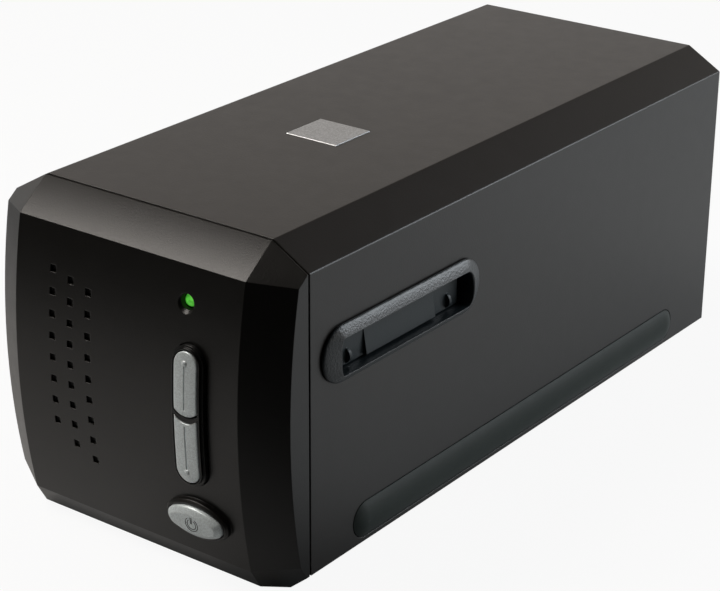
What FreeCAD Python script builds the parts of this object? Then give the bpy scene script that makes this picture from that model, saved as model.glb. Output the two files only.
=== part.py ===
import FreeCAD, Part
import math
import os
from FreeCAD import Placement, Rotation, Vector

# Film negative scanner: a deep dark case with a film slot on each side, a
# faceted front with two scan keys, a lamp and a power button, and a scanning
# carriage on a guide rod inside. Millimetres, +X to the right, +Y to the rear,
# +Z up, origin on the ground under the middle of the case.

ACROSS = Vector(1, 0, 0)
BACK = Vector(0, 1, 0)
UP = Vector(0, 0, 1)

# Case
case_width = 120.0
body_length = 252.0
front_depth = 17.4
cover_height = 110.0
base_drop = 3.0
foot_height = 3.0
wall = 2.4
top_chamfer_across = 13.6
top_chamfer_down = 7.9
lower_chamfer_across = 5.5
seam_gap = 0.8
fit_gap = 0.25
overrun = 2.0
edge_round = 0.7

# Front bezel
front_radius = 240.0
front_middle_height = 52.0
corner_depth = 8.4
crease_depth = 13.2
crease_drop = 10.0
corner_crease_depth = 6.8
corner_crease_drop = 12.8
toe_depth = 12.0
toe_height = 2.1
lip_depth = 8.0
lip_drop = 1.6
corner_toe_depth = 3.7
corner_toe_height = 3.8
corner_lip_from_side = 8.5
corner_lip_depth = 4.7
tongue_thickness = 1.8
tongue_length = 5.0
tongue_root = 4.0
tongue_pad_width = 8.0
tongue_pad_heights = (30.0, 78.0)
bezel_boss_radius = 2.6
bezel_boss_share = 0.3

# Square dimples on the front, by column
dimple_size = 2.5
dimple_depth = 1.1
dimple_column_shares = (-0.505, -0.377, -0.25)
dimple_tops = (86.2, 84.1, 82.1)
dimple_pitches = (7.48, 7.1, 7.3)
dimple_counts = (8, 9, 9)

# Scan keys and their surround
keys_from_side = 32.2
keys_middle_height = 53.0
key_width = 9.3
keys_length = 44.4
key_split_height = 52.65
key_web = 1.6
key_web_sag = 1.85
key_gap = 0.35
key_proud = 3.0
key_back = 2.85
key_flange = 0.8
key_flange_thickness = 1.2
surround_margin = 1.6
surround_proud = 2.5
surround_shoulder = 1.5
surround_bevel = 0.7
surround_back = 1.6
surround_flange = 1.6
key_bump_radius = 1.0
key_bump_top_radius = 0.55
key_bump_proud = 0.45
key_bump_root = 0.5
key_bump_inset = 4.0
key_groove_width = 0.45
key_groove_depth = 0.4
key_stem_radius = 1.6
scan_key_travel = 0.8

# Power button
power_from_side = 31.6
power_height = 16.9
power_width = 21.8
power_tall = 10.6
power_proud = 4.4
power_bevel = 1.5
power_bevel_rise = 0.9
oval_end_share = 0.62
power_flange = 1.2
power_flange_thickness = 1.0
power_rest_gap = 0.2
power_collar_width = 25.2
power_collar_tall = 14.0
power_collar_taper = 0.7
power_collar_proud = 2.2
power_collar_gap = 0.4
power_travel = 1.2
power_mark_radius = 2.1
power_mark_width = 0.6
power_mark_depth = 0.3
power_mark_bar = 2.4
power_mark_opening = 1.0

# Status lamp
lamp_from_side = 35.2
lamp_height = 89.1
lamp_hole_radius = 2.6
lamp_hole_bevel = 0.6
lamp_radius = 2.25
lamp_dome_shares = ((1.0, 0.0), (0.86, 0.5), (0.5, 0.86), (0.0, 1.0))
lamp_recess = 0.8
lamp_collar_radius = 2.7
lamp_collar_thickness = 1.0
lamp_lead_radius = 0.3
lamp_lead_pitch = 2.54

# Button board
button_board_depth = 3.0
board_thickness = 1.6
button_board_left_reach = 14.8
button_board_right_reach = 13.2
button_board_low_reach = 8.9
button_board_top_reach = 7.3
switch_size = 6.0
switch_height = 3.6
plunger_radius = 1.7
plunger_bore_gap = 0.1
plunger_reach = 1.1
plunger_seat = 2.0

# Top cover
emblem_width = 21.2
emblem_length = 19.0
emblem_from_seam = 86.9
emblem_thickness = 0.8
emblem_recess = 0.6
emblem_chamfer = 0.18
rib_thickness = 1.6
rib_height = 3.0
rib_places_share = (0.16, 0.46, 0.62, 0.8)
boss_radius = 3.4
boss_height = 15.0
boss_inset = 6.2
front_boss_distance = 24.0
rear_boss_distance = 12.0
rear_boss_length = 9.0
rear_boss_inset_x = 9.0
rear_boss_inset_z = 16.0

# Base tray
base_thickness = 2.4
base_edge_gap = 0.3
base_rim_height = 7.0
base_rim_thickness = 1.8
standoff_radius = 4.0
standoff_height = 3.6
base_end_gap = 0.4

# Feet
foot_radius = 7.5
foot_seat_depth = 0.9
foot_from_side = 18.0
foot_end_distance = 24.0
foot_chamfer = 0.8

# Screws, one size throughout
screw_radius = 1.4
screw_length = 7.0
screw_head_radius = 2.7
screw_head_height = 1.4
screw_hole_gap = 0.2
screw_seat_depth = 1.4
screw_tip_gap = 0.2

# Rear panel
rear_recess = 1.0
rear_thickness = 3.0
rear_gap = 0.2
jack_pocket_depth = 1.0
jack_pocket_margin = 5.0
socket_x = 22.0
power_jack_x = -4.0
jack_height = 21.0
socket_width = 12.0
socket_tall = 10.8
socket_shell = 0.6
socket_back = 1.2
socket_tongue_width = 5.6
socket_tongue_tall = 3.2
power_jack_radius = 4.6
power_jack_bore = 3.1
power_jack_pin = 0.9
power_jack_body = 9.0

# Film slots in both sides
slot_rim_from_seam = 5.8
slot_height = 71.4
slot_length = 66.0
slot_tall = 13.3
slot_bulge = 3.2
slot_rim_margins = (9.0, 2.95)
slot_shoulder_margins = (7.8, 2.3)
slot_crest_margins = (5.5, 1.25)
slot_rim_proud = 3.0
slot_shoulder_proud = 1.7
slot_tunnel_wall = 1.6
slot_tunnel_depth = 10.2
slot_hook_length = 8.0
slot_hook_reach = 1.0
slot_hook_height = 2.4

# Dust flaps
flap_gap = 0.4
flap_thickness = 1.4
flap_set_back = 1.7
flap_hinge_drop = 1.9
flap_barrel_radius = 1.5
flap_pin_radius = 0.8
flap_pin_gap = 0.05
flap_pad_share = 0.56
flap_pad_proud = 1.5
flap_pad_top = 3.3
flap_fin_x_share = 0.82
flap_fin_thickness = 1.2
flap_fin_proud = 1.7
flap_fin_tall = 5.0
flap_spring_length = 5.0
flap_spring_share = 0.64
flap_spring_outer = 1.45
flap_spring_gap = 0.05
flap_spring_leg = 4.0
flap_spring_wire = 0.5

# Rubber side strips
strip_front_gap = 22.6
strip_rear_gap = 26.4
strip_tall = 12.4
strip_height = 8.0
strip_proud = 2.0
strip_seat_depth = 0.8
strip_seat_gap = 0.3

# Chassis
chassis_thickness = 2.4
chassis_side_gap = 5.0
chassis_front = 3.5
chassis_rear_gap = 20.0
post_half_width = 2.5
post_from_side = 8.4
post_half_depth = 4.5
post_from_opening = 7.5
rear_wall_thickness = 2.4
rear_wall_height = 26.0
chassis_screw_from_drive = 18.0
chassis_screw_from_end = 12.0
boss_notch_gap = 0.6
wall_boss_radius = 3.0
wall_boss_length = 5.0

# Film gate
gate_side_gap = 10.4
gate_floor = 2.2
gate_side = 2.2
gate_lid = 2.0
gate_window_side_gap = 14.0
gate_window_share = 0.47
gate_ear_width = 9.0

# Guide rod and slide rail
rod_radius = 3.0
rod_from_side = 19.0
rod_lift = 13.5
rod_front = 12.0
rod_rear_gap = 28.0
rod_block_half = 5.0
rod_block_outer = 9.8
clamp_screw_offset = 7.0
rod_block_length = 9.0
clamp_thickness = 1.2
rail_from_side = 19.0
rail_half_width = 3.5
rail_lift = 8.0
rail_thickness = 1.2
rail_front = 24.0
rail_rear_gap = 46.0

# Scanning carriage, shown at its rear home
scan_travel = 28.0
carriage_side_gap = 27.0
carriage_wall = 2.4
carriage_lift = 4.5
carriage_wall_height = 41.0
carriage_front_reach = 24.0
carriage_rear_gap = 42.2
mirror_drop = 33.0
mirror_half = 17.0
mirror_thickness = 2.0
mirror_side_gap = 7.0
spine_share = 0.453
spine_thickness = 5.0
spine_window_side_gap = 10.0
spine_window_low = 6.0
spine_window_high = 44.0
arm_drop = 8.0
arm_thickness = 3.0
arm_reach = 16.0
arm_rib_height = 6.0
gusset_reach = 16.0
gusset_rise = 26.0
lens_share = 0.547
lens_length_share = 0.2656
lens_radius = 12.0
lens_step_radius = 9.5
lens_step_length = 8.0
lens_bore = 7.5
lens_glass_thickness = 3.0
lens_glass_edge = 0.9
lens_flat_share = 0.55
lens_glass_inset = 2.0
lens_seat_share = 0.7
lens_seat_half = 15.0
strap_share = 0.42
strap_thickness = 1.0
sensor_side_gap = 12.0
sensor_tall = 9.6
sensor_thickness = 3.0
sensor_window_side_gap = 4.0
sensor_window_tall = 3.0
sensor_window_depth = 0.6
sensor_board_side_gap = 4.0
sensor_board_tall = 34.0
bushing_radius = 5.0
bushing_length = 11.0
bushing_bore_gap = 0.05
bushing_front = 4.0
bushing_rear_share = 0.78
bushing_housing = 2.2
skid_length = 14.0
skid_thickness = 2.6
skid_gap = 0.2
skid_share = 0.453
lug_thickness = 3.0

# Light unit over the film gate
light_side_gap = 7.0
light_half_y = 11.0
light_wall = 1.6
light_gate_gap = 2.4
diffuser_thickness = 1.6
light_die_size = 2.0
light_die_count = 6
light_die_tall = 0.8

# Belt drive
gear_module = 0.8
gear_pressure_deg = 25.0
pinion_teeth = 12
wheel_teeth = 32
gear_backlash = 0.22
gear_thickness = 4.0
gear_root_extra = 0.25
gear_addendum_share = 0.95
flank_steps = 2
drive_from_side = 18.0
drive_rear_gap = 21.0
idler_from_seam = 14.5
pulley_radius = 5.0
pulley_flange_radius = 6.9
pulley_flange = 1.0
pulley_width = 7.0
belt_width = 6.0
belt_thickness = 1.1
belt_pulley_gap = 0.05
axle_radius = 1.5
axle_gap = 0.05
axle_head_radius = 2.4
axle_head = 0.8
bracket_thickness = 1.6
bracket_lift = 26.4
bracket_left_reach = 38.0
bracket_side_gap = 5.0
bracket_half_depth = 17.0
bracket_leg_foot = 8.0
bracket_screw_y = 10.0
motor_radius = 17.0
motor_tall = 20.0
motor_boss_radius = 5.0
motor_boss_root = 2.0
motor_shaft_radius = 1.5
clamp_block_length = 12.0
clamp_gap = 0.3

# Holder detent
detent_roller_radius = 3.0
detent_roller_width = 5.0
detent_reach = 0.8
detent_arm_length = 20.0
detent_arm_thickness = 2.0
detent_arm_tall = 9.0
detent_knuckle = 3.2
detent_pivot_radius = 1.5
detent_pivot_gap = 0.05
detent_slot_gap = 0.7
detent_fork_gap = 0.4
detent_fork_half = 2.0
detent_pin_radius = 0.9
detent_wall_gap = 0.6
detent_play = 0.1
detent_spring_radius = 2.4
detent_spring_tall = 3.0
detent_spring_leg = 12.0
detent_spring_wire = 0.6

# Boards
main_board_side_gap = 12.0
main_board_low = 8.0
main_board_high = 92.0
chip_tall = 2.0
chip_places = ((-0.45, 0.5, 20.0), (0.3, 0.55, 14.0), (0.05, -0.1, 8.0), (0.7, 0.35, 7.0))
ribbon_width = 10.0
ribbon_thickness = 0.4
ribbon_from_drive = 30.0
ribbon_tail = 5.0
ribbon_rise = 12.0

# Places worked out from the sizes above
half_width = case_width / 2
overall_length = body_length + front_depth + key_proud
front_y = -overall_length / 2 + key_proud
seam_y = front_y + front_depth
rear_y = seam_y + body_length
base_z = foot_height
lip_z = base_z - lip_drop
cover_z = base_z + base_drop
top_z = cover_z + cover_height
front_middle_z = cover_z + front_middle_height
keys_x = half_width - keys_from_side
power_x = half_width - power_from_side
lamp_x = half_width - lamp_from_side
button_board_x0 = keys_x - button_board_left_reach
button_board_x1 = keys_x + button_board_right_reach
button_board_low_z = cover_z + power_height - button_board_low_reach
button_board_top_z = cover_z + lamp_height + button_board_top_reach
foot_x = half_width - foot_from_side
slot_rim_length = slot_length + 2 * slot_rim_margins[0]
slot_y = seam_y + slot_rim_from_seam + slot_rim_length / 2
slot_z = cover_z + slot_height
flap_pad_length = slot_length * flap_pad_share
flap_spring_place = slot_length / 2 * flap_spring_share
strip_length = body_length - strip_front_gap - strip_rear_gap
strip_y = seam_y + strip_front_gap + strip_length / 2
inner_half = half_width - wall
chassis_half_width = half_width - chassis_side_gap
chassis_front_y = seam_y + chassis_front
chassis_rear_y = rear_y - chassis_rear_gap
post_x = half_width - post_from_side
post_from_slot = slot_length / 2 + post_from_opening
gate_half_length = half_width - gate_side_gap
rod_x = rod_from_side - half_width
rod_front_y = seam_y + rod_front
rod_rear_y = chassis_rear_y - rod_rear_gap
rail_x = half_width - rail_from_side
rail_front_y = seam_y + rail_front
rail_rear_y = chassis_rear_y - rail_rear_gap
base_top_z = base_z + base_thickness
chassis_z = base_top_z + standoff_height
deck_z = chassis_z + chassis_thickness
home_y = slot_y + scan_travel / 2
rod_z = deck_z + rod_lift
rail_z = deck_z + rail_lift
carriage_z = deck_z + carriage_lift
carriage_half_width = half_width - carriage_side_gap
carriage_front_y = home_y - carriage_front_reach
carriage_rear_y = chassis_rear_y - carriage_rear_gap
optic_run = carriage_rear_y - home_y
mirror_width = 2 * (carriage_half_width - mirror_side_gap)
spine_window_half = carriage_half_width - spine_window_side_gap
sensor_half_width = carriage_half_width - sensor_side_gap
sensor_window_half = sensor_half_width - sensor_window_side_gap
sensor_board_half = carriage_half_width - sensor_board_side_gap
light_half_x = carriage_half_width - light_side_gap
gate_window_half_x = carriage_half_width - gate_window_side_gap
gate_window_half_y = slot_length / 2 * gate_window_share
slot_floor_z = slot_z - slot_tall / 2
slot_ceiling_z = slot_z + slot_tall / 2
gate_low_z = slot_floor_z - gate_floor
gate_top_z = slot_ceiling_z + gate_lid
optic_z = gate_low_z - mirror_drop + gate_floor
arm_z = top_z - wall - arm_drop
light_z = gate_top_z + light_gate_gap
spine_y = home_y + optic_run * spine_share
lens_y = home_y + optic_run * lens_share
lens_length = optic_run * lens_length_share
lens_seat_length = lens_length * lens_seat_share
strap_width = lens_seat_length * strap_share
skid_y = home_y + optic_run * skid_share
bushing_places_y = (home_y + bushing_front, home_y + optic_run * bushing_rear_share)
drive_x = half_width - drive_from_side
drive_y = chassis_rear_y - drive_rear_gap
bracket_x0 = drive_x - bracket_left_reach
bracket_x1 = half_width - bracket_side_gap
idler_y = seam_y + idler_from_seam
bracket_z = deck_z + bracket_lift
gear_z = bracket_z + bracket_thickness + fit_gap
pulley_z = gear_z + gear_thickness
belt_z = pulley_z + pulley_flange + (pulley_width - belt_width) / 2
gear_distance = gear_module * (pinion_teeth + wheel_teeth) / 2
motor_x = drive_x - gear_distance
board_y = chassis_rear_y
main_board_half = half_width - main_board_side_gap
ribbon_x = drive_x - ribbon_from_drive
panel_y = rear_y - rear_recess - rear_thickness
jack_z = cover_z + jack_height
button_board_y = seam_y - button_board_depth
button_board_back_y = button_board_y + board_thickness
hinge_x = half_width - flap_set_back - flap_thickness / 2
hinge_z = slot_ceiling_z - flap_hinge_drop
corner_run = math.hypot(top_chamfer_across, corner_depth)
corner_radius = front_radius * corner_run / top_chamfer_across


def front_point(across, up, back):
    """A point named by its place on a plane square to the depth."""
    return Vector(across, back, up)


def side_point(back, up, across):
    """A point named by its place on a plane square to the width."""
    return Vector(across, back, up)


def plan_point(across, back, up):
    """A point named by its place on a level plane."""
    return Vector(across, back, up)


def face(point, level, corners):
    """A flat face; a corner of four values starts an arc through its last two."""
    edges = []
    for here, there in zip(corners, corners[1:] + corners[:1]):
        start = point(here[0], here[1], level)
        end = point(there[0], there[1], level)
        if len(here) == 4:
            edges.append(Part.Arc(start, point(here[2], here[3], level), end).toShape())
        else:
            edges.append(Part.makeLine(start, end))
    return Part.Face(Part.Wire(edges))


def slab(point, corners, start, end):
    """A prism on an outline between two parallel planes."""
    return face(point, start, corners).extrude(point(0, 0, end) - point(0, 0, start))


def block(x0, y0, z0, x1, y1, z1):
    """A rectangular block between two corners."""
    return Part.makeBox(x1 - x0, y1 - y0, z1 - z0, Vector(x0, y0, z0))


def bar(radius, start, end):
    """A round bar between two points."""
    return Part.makeCylinder(radius, (end - start).Length, start, end - start)


def upright_bar(radius, place, low, high):
    """An upright round bar through a place, between two heights."""
    return bar(radius, Vector(place.x, place.y, low), Vector(place.x, place.y, high))


def rectangle(u0, v0, u1, v1):
    """Corners of an upright rectangle."""
    return [(u0, v0), (u1, v0), (u1, v1), (u0, v1)]


def stadium(u, v, length, height):
    """Corners of a slot outline with round ends, long along the first axis."""
    end = height / 2
    run = length / 2 - end
    return [
        (u - run, v - end),
        (u + run, v - end, u + run + end, v),
        (u + run, v + end),
        (u - run, v + end, u - run - end, v),
    ]


def tall_stadium(u, v, width, height):
    """Corners of a slot outline with round ends, long along the second axis."""
    end = width / 2
    run = height / 2 - end
    return [
        (u + end, v - run),
        (u + end, v + run, u, v + run + end),
        (u - end, v + run),
        (u - end, v - run, u, v - run - end),
    ]


def bulged(u, v, length, height, bulge):
    """Corners of a rectangle whose short ends bow outwards."""
    end = length / 2
    half = height / 2
    return [
        (u - end, v - half),
        (u + end, v - half, u + end + bulge, v),
        (u + end, v + half),
        (u - end, v + half, u - end - bulge, v),
    ]


def inset_polygon(corners, inset):
    """Corners of a convex outline with every edge moved inwards."""
    pairs = list(zip(corners, corners[1:] + corners[:1]))
    turn = math.copysign(1, sum(a[0] * b[1] - b[0] * a[1] for a, b in pairs))
    lines = []
    for a, b in pairs:
        length = math.hypot(b[0] - a[0], b[1] - a[1])
        nu = -(b[1] - a[1]) / length * turn
        nv = (b[0] - a[0]) / length * turn
        lines.append((nu, nv, nu * a[0] + nv * a[1] + inset))
    moved = []
    for a, b in zip(lines[-1:] + lines[:-1], lines):
        spread = a[0] * b[1] - b[0] * a[1]
        moved.append(((a[2] * b[1] - b[2] * a[1]) / spread, (a[0] * b[2] - b[0] * a[2]) / spread))
    return moved


def joined(shapes):
    """One solid from pieces that meet."""
    first, *others = shapes
    return first.fuse(others).removeSplitter() if others else first


def mirrored(shape):
    """The same piece on the other side of the case."""
    return shape.mirror(Vector(0, 0, 0), ACROSS)


def case_outline(low_z):
    """Section of the case: upright sides and two long top chamfers."""
    shoulder_z = top_z - top_chamfer_down
    shoulder_x = half_width - top_chamfer_across
    return [
        (-half_width, low_z),
        (half_width, low_z),
        (half_width, shoulder_z),
        (shoulder_x, top_z),
        (-shoulder_x, top_z),
        (-half_width, shoulder_z),
    ]


def bezel_outline():
    """Section of the bezel: the case section with its lower edges cut back."""
    sole_x = half_width - lower_chamfer_across
    return [(-sole_x, lip_z), (sole_x, lip_z), (half_width, cover_z)] + case_outline(cover_z)[2:] + [
        (-half_width, cover_z)
    ]


def nose_outline():
    """Side view of the bezel's top facet and lower lip, open towards the front."""
    ahead = front_y - overrun
    top_slope = crease_drop / crease_depth
    toe_slope = (cover_z + toe_height - lip_z) / (toe_depth - lip_depth)
    lip_y = seam_y - lip_depth
    return [
        (seam_y + front_depth, lip_z),
        (lip_y, lip_z),
        (ahead, lip_z + (lip_y - ahead) * toe_slope),
        (ahead, top_z - (seam_y - ahead) * top_slope),
        (seam_y, top_z),
        (seam_y + front_depth, top_z),
    ]


def front_roll(radius):
    """The wide cylinder that the front face lies on."""
    axis_y = front_y + front_radius
    left = Vector(-case_width, axis_y, front_middle_z)
    return bar(radius, left, Vector(case_width, axis_y, front_middle_z))


def corner_roll(side, radius):
    """The cylinder that a bevelled front corner lies on."""
    along = Vector(side * top_chamfer_across / corner_run, corner_depth / corner_run, 0)
    inward = Vector(-side * corner_depth / corner_run, top_chamfer_across / corner_run, 0)
    edge = Vector(side * (half_width - top_chamfer_across), front_y, front_middle_z)
    middle = edge + inward * corner_radius
    return bar(radius, middle - along * case_width, middle + along * case_width)


def within_plane(a, b, c, inset, upwards):
    """A large block behind the plane through three points, which faces up or down."""
    normal = (b - a).cross(c - a)
    normal.normalize()
    if (normal.z > 0) != upwards:
        normal = normal * -1
    size = overall_length
    piece = Part.makeBox(size, size, size, Vector(-size / 2, -size / 2, -size))
    piece.Placement = Placement(a - normal * inset, Rotation(UP, normal))
    return piece


def corner_top(side, inset):
    """The small slanted facet between the front, the side and the top chamfer."""
    inner_x = side * (half_width - top_chamfer_across)
    a = Vector(inner_x, seam_y, top_z)
    b = Vector(inner_x, seam_y - crease_depth, top_z - crease_drop)
    c = Vector(side * half_width, seam_y - corner_crease_depth, top_z - corner_crease_drop)
    return within_plane(a, b, c, inset, True)


def corner_toe(side, inset):
    """The small undercut facet between the bevelled front corner and the lower lip."""
    inner_x = side * (half_width - top_chamfer_across)
    lip_x = side * (half_width - corner_lip_from_side)
    a = Vector(inner_x, seam_y - toe_depth, cover_z + toe_height)
    b = Vector(side * half_width, seam_y - corner_toe_depth, cover_z + corner_toe_height)
    c = Vector(lip_x, seam_y - corner_lip_depth, lip_z)
    return within_plane(a, b, c, inset, False)


def bezel_form(inset, rear):
    """The bezel's faceted and bowed form with all its faces moved inwards."""
    outline = inset_polygon(bezel_outline(), inset)
    form = slab(front_point, outline, front_y - overrun, rear)
    form = form.common(front_roll(front_radius - inset))
    nose = inset_polygon(nose_outline(), inset)
    form = form.common(slab(side_point, nose, -half_width, half_width))
    for side in (-1, 1):
        form = form.common(corner_roll(side, corner_radius - inset))
        form = form.common(corner_top(side, inset))
        form = form.common(corner_toe(side, inset))
    return form


def curved_slab(corners, deep, proud):
    """A piece of given outline between two depths from the bowed front face."""
    piece = slab(front_point, corners, front_y - front_depth, seam_y)
    return piece.common(front_roll(front_radius + proud)).cut(front_roll(front_radius - deep))


def front_face_y(height):
    """Depth of the front face at a height."""
    rise = height - front_middle_z
    return front_y + front_radius - math.sqrt(front_radius ** 2 - rise ** 2)


def upper_key_outline(margin):
    """Outline of the upper scan key, round above and bowed below."""
    half = key_width / 2 + margin
    top = cover_z + keys_middle_height + keys_length / 2 + margin
    low = cover_z + key_split_height + (key_web / 2 + key_gap - margin) + key_web_sag
    return [
        (keys_x - half, low, keys_x, low - key_web_sag),
        (keys_x + half, low),
        (keys_x + half, top - half, keys_x, top),
        (keys_x - half, top - half),
    ]


def lower_key_outline(margin):
    """Outline of the lower scan key, hollowed above and round below."""
    half = key_width / 2 + margin
    low = cover_z + keys_middle_height - keys_length / 2 - margin
    top = cover_z + key_split_height - (key_web / 2 + key_gap - margin) + key_web_sag
    return [
        (keys_x - half, low + half, keys_x, low),
        (keys_x + half, low + half),
        (keys_x + half, top, keys_x, top - key_web_sag),
        (keys_x - half, top),
    ]


def surround_outline(margin):
    """Outline of the raised key surround."""
    width = key_width + 2 * (surround_margin + margin)
    height = keys_length + 2 * (surround_margin + margin)
    return tall_stadium(keys_x, cover_z + keys_middle_height, width, height)


def power_frame():
    """Placement of the power button: its local Z points out of the front face."""
    height = cover_z + power_height
    y = front_face_y(height)
    outward = Vector(0, y - (front_y + front_radius), height - front_middle_z)
    outward.normalize()
    upward = outward.cross(ACROSS) * -1
    return Placement(Vector(power_x, y, height), Rotation(ACROSS, upward, outward, "ZXY"))


def oval(width, tall):
    """Corners of an oval made of four tangent arcs."""
    a = width / 2
    b = tall / 2
    end = b * oval_end_share
    side = ((a - end) ** 2 + b ** 2 - end ** 2) / (2 * (b - end))
    u = (a - end) * side / (side - end)
    v = end * (side - b) / (side - end)
    return [(u, -v, a, 0), (u, v, 0, b), (-u, v, -a, 0), (-u, -v, 0, -b)]


def oval_slab(width, tall, start, end):
    """An oval prism in the power button's own frame."""
    return slab(plan_point, oval(width, tall), start, end)


def bevel_top(body, level, rise, inset):
    """The same body with a bevel along its edges at a level."""
    chosen = [edge for edge in body.Edges if edge.BoundBox.ZMin > level - fit_gap]
    return body.makeChamfer(rise, inset, chosen)


def make_front_bezel():
    """Moulded front: shell, tongue, dimples, openings and board bosses."""
    shell = bezel_form(0, seam_y).cut(bezel_form(wall, seam_y + overrun))
    tongue_outline = case_outline(cover_z - base_drop / 2)
    inner = wall + fit_gap
    start = seam_y - tongue_root
    end = seam_y + tongue_length
    ring = slab(front_point, inset_polygon(tongue_outline, inner), start, end)
    collar = slab(front_point, inset_polygon(tongue_outline, wall - fit_gap), start, seam_y)
    ring = ring.fuse(collar).common(bezel_form(wall / 2, end))
    hollow = inset_polygon(tongue_outline, inner + tongue_thickness)
    ring = ring.cut(slab(front_point, hollow, start - overrun, end + overrun))
    pads = [tongue_pad(side, height) for side in (-1, 1) for height in tongue_pad_heights]
    body = joined([shell, ring] + pads)
    notch = rectangle(-inner_half, base_z - overrun, inner_half, base_top_z + fit_gap)
    body = body.cut(slab(front_point, notch, seam_y - fit_gap, end + overrun))
    body = joined([body, power_collar()] + [bezel_boss(x, z) for x, z in bezel_boss_places()])
    cuts = [dimple(x, z) for x, z in dimple_places()]
    cuts.append(slab(front_point, surround_outline(fit_gap), front_y - overrun, button_board_y))
    cuts += [power_opening(), lamp_opening()]
    for x, z in bezel_boss_places():
        tip_y = button_board_back_y - screw_length - screw_tip_gap
        cuts.append(bar(screw_radius, Vector(x, tip_y, z), Vector(x, seam_y, z)))
    return body.cut(cuts)


def tongue_pad(side, height):
    """A pad on the bezel's tongue that bears on the cover's inner wall."""
    x0, x1 = sorted((side * (inner_half - fit_gap - tongue_thickness), side * inner_half))
    z = cover_z + height
    return block(x0, seam_y + seam_gap, z, x1, seam_y + tongue_length, z + tongue_pad_width)


def power_collar():
    """Raised oval collar around the power button."""
    body = oval_slab(power_collar_width, power_collar_tall, -wall, power_collar_proud)
    body = bevel_top(body, power_collar_proud, power_collar_taper, power_collar_taper)
    body.Placement = power_frame()
    return body


def power_opening():
    """Oval way through the bezel for the power button."""
    width = power_width + 2 * power_collar_gap
    tall = power_tall + 2 * power_collar_gap
    body = oval_slab(width, tall, -front_depth / 2, power_collar_proud + overrun)
    body.Placement = power_frame()
    return body


def lamp_opening():
    """Round hole with a bevelled edge for the status lamp."""
    z = cover_z + lamp_height
    y = front_face_y(z)
    mouth = Vector(lamp_x, y - overrun, z)
    hole = bar(lamp_hole_radius, mouth, Vector(lamp_x, y + 2 * wall, z))
    reach = lamp_hole_bevel + overrun
    return hole.fuse(Part.makeCone(lamp_hole_radius + reach, lamp_hole_radius, reach, mouth, BACK))


def bezel_boss_places():
    """Screw places of the button board."""
    x = button_board_x0 + screw_head_radius
    rise = button_board_top_z - button_board_low_z
    upper = button_board_top_z - 2 * screw_head_radius
    return [(x, upper), (x, button_board_low_z + rise * bezel_boss_share)]


def bezel_boss(x, z):
    """A round boss inside the bezel that carries the button board."""
    return bar(bezel_boss_radius, Vector(x, front_face_y(z) + wall / 2, z), Vector(x, button_board_y, z))


def dimple_places():
    """Centres of the square dimples."""
    places = []
    for share, top, pitch, count in zip(dimple_column_shares, dimple_tops, dimple_pitches, dimple_counts):
        places += [(half_width * share, cover_z + top - pitch * row) for row in range(count)]
    return places


def dimple(x, z):
    """One square dimple, cut into the front face."""
    half = dimple_size / 2
    y = front_face_y(z)
    return block(x - half, y - overrun, z - half, x + half, y + dimple_depth, z + half)


def slot_outline(margin):
    """The film slot's opening, grown by a margin."""
    return bulged(slot_y, slot_z, slot_length + 2 * margin, slot_tall + 2 * margin, slot_bulge)


def strip_outline(margin):
    """The rubber strip's outline, grown by a margin."""
    return stadium(strip_y, cover_z + strip_height, strip_length + 2 * margin, strip_tall + 2 * margin)


def case_screw_places():
    """Screw places of the base, under the cover's bosses."""
    x = half_width - boss_inset
    ends = (seam_y + front_boss_distance, rear_y - rear_boss_distance)
    return [(side * x, y) for side in (-1, 1) for y in ends]


def rear_screw_places():
    """Screw places of the rear panel."""
    x = half_width - rear_boss_inset_x
    return [(side * x, top_z - rear_boss_inset_z) for side in (-1, 1)]


def make_top_cover():
    """Moulded cover: top, long chamfers and both sides in one wrapped shell."""
    start = seam_y + seam_gap
    shell = slab(front_point, case_outline(cover_z), start, rear_y)
    long_edges = [edge for edge in shell.Edges if abs(edge.Length - (rear_y - start)) < fit_gap]
    long_edges = [edge for edge in long_edges if edge.BoundBox.ZMin > cover_z + overrun]
    shell = shell.makeFillet(edge_round, long_edges)
    inner = inset_polygon(case_outline(cover_z - overrun - wall), wall)
    shell = shell.cut(slab(front_point, inner, start - overrun, rear_y + overrun))
    ribs = [cover_rib(share) for share in rib_places_share]
    bosses = [cover_boss(x, y) for x, y in case_screw_places()]
    bosses += [rear_boss(x, z) for x, z in rear_screw_places()]
    body = joined([shell] + ribs + bosses)
    cuts = [cover_pilot(x, y) for x, y in case_screw_places()]
    cuts += [bar(screw_radius, Vector(x, panel_y - screw_length, z), Vector(x, panel_y + overrun, z))
             for x, z in rear_screw_places()]
    beyond = half_width + overrun
    opening = slab(side_point, slot_outline(slot_tunnel_wall + fit_gap), inner_half - overrun, beyond)
    seat = slab(side_point, strip_outline(strip_seat_gap), half_width - strip_seat_depth, beyond)
    cuts += [opening, seat, mirrored(opening), mirrored(seat), emblem_block(fit_gap, overrun)]
    return body.cut(cuts)


def cover_rib(share):
    """A stiffening rib under the cover's top and chamfers."""
    y = seam_y + body_length * share
    outer = inset_polygon(case_outline(cover_z), wall / 2)
    inner = inset_polygon(case_outline(cover_z), wall + rib_height)
    rib = slab(front_point, outer, y, y + rib_thickness).cut(
        slab(front_point, inner, y - overrun, y + rib_thickness + overrun))
    low = top_z - top_chamfer_down - 2 * rib_height
    return rib.common(block(-half_width, y, low, half_width, y + rib_thickness, top_z))


def cover_boss(x, y):
    """A screw boss that stands on the base, tied to the side wall."""
    side = math.copysign(1, x)
    top = base_top_z + boss_height
    post = bar(boss_radius, Vector(x, y, base_top_z), Vector(x, y, top))
    x0, x1 = sorted((x, side * (half_width - wall / 2)))
    web = block(x0, y - rib_thickness / 2, cover_z, x1, y + rib_thickness / 2, top)
    return post.fuse(web)


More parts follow.
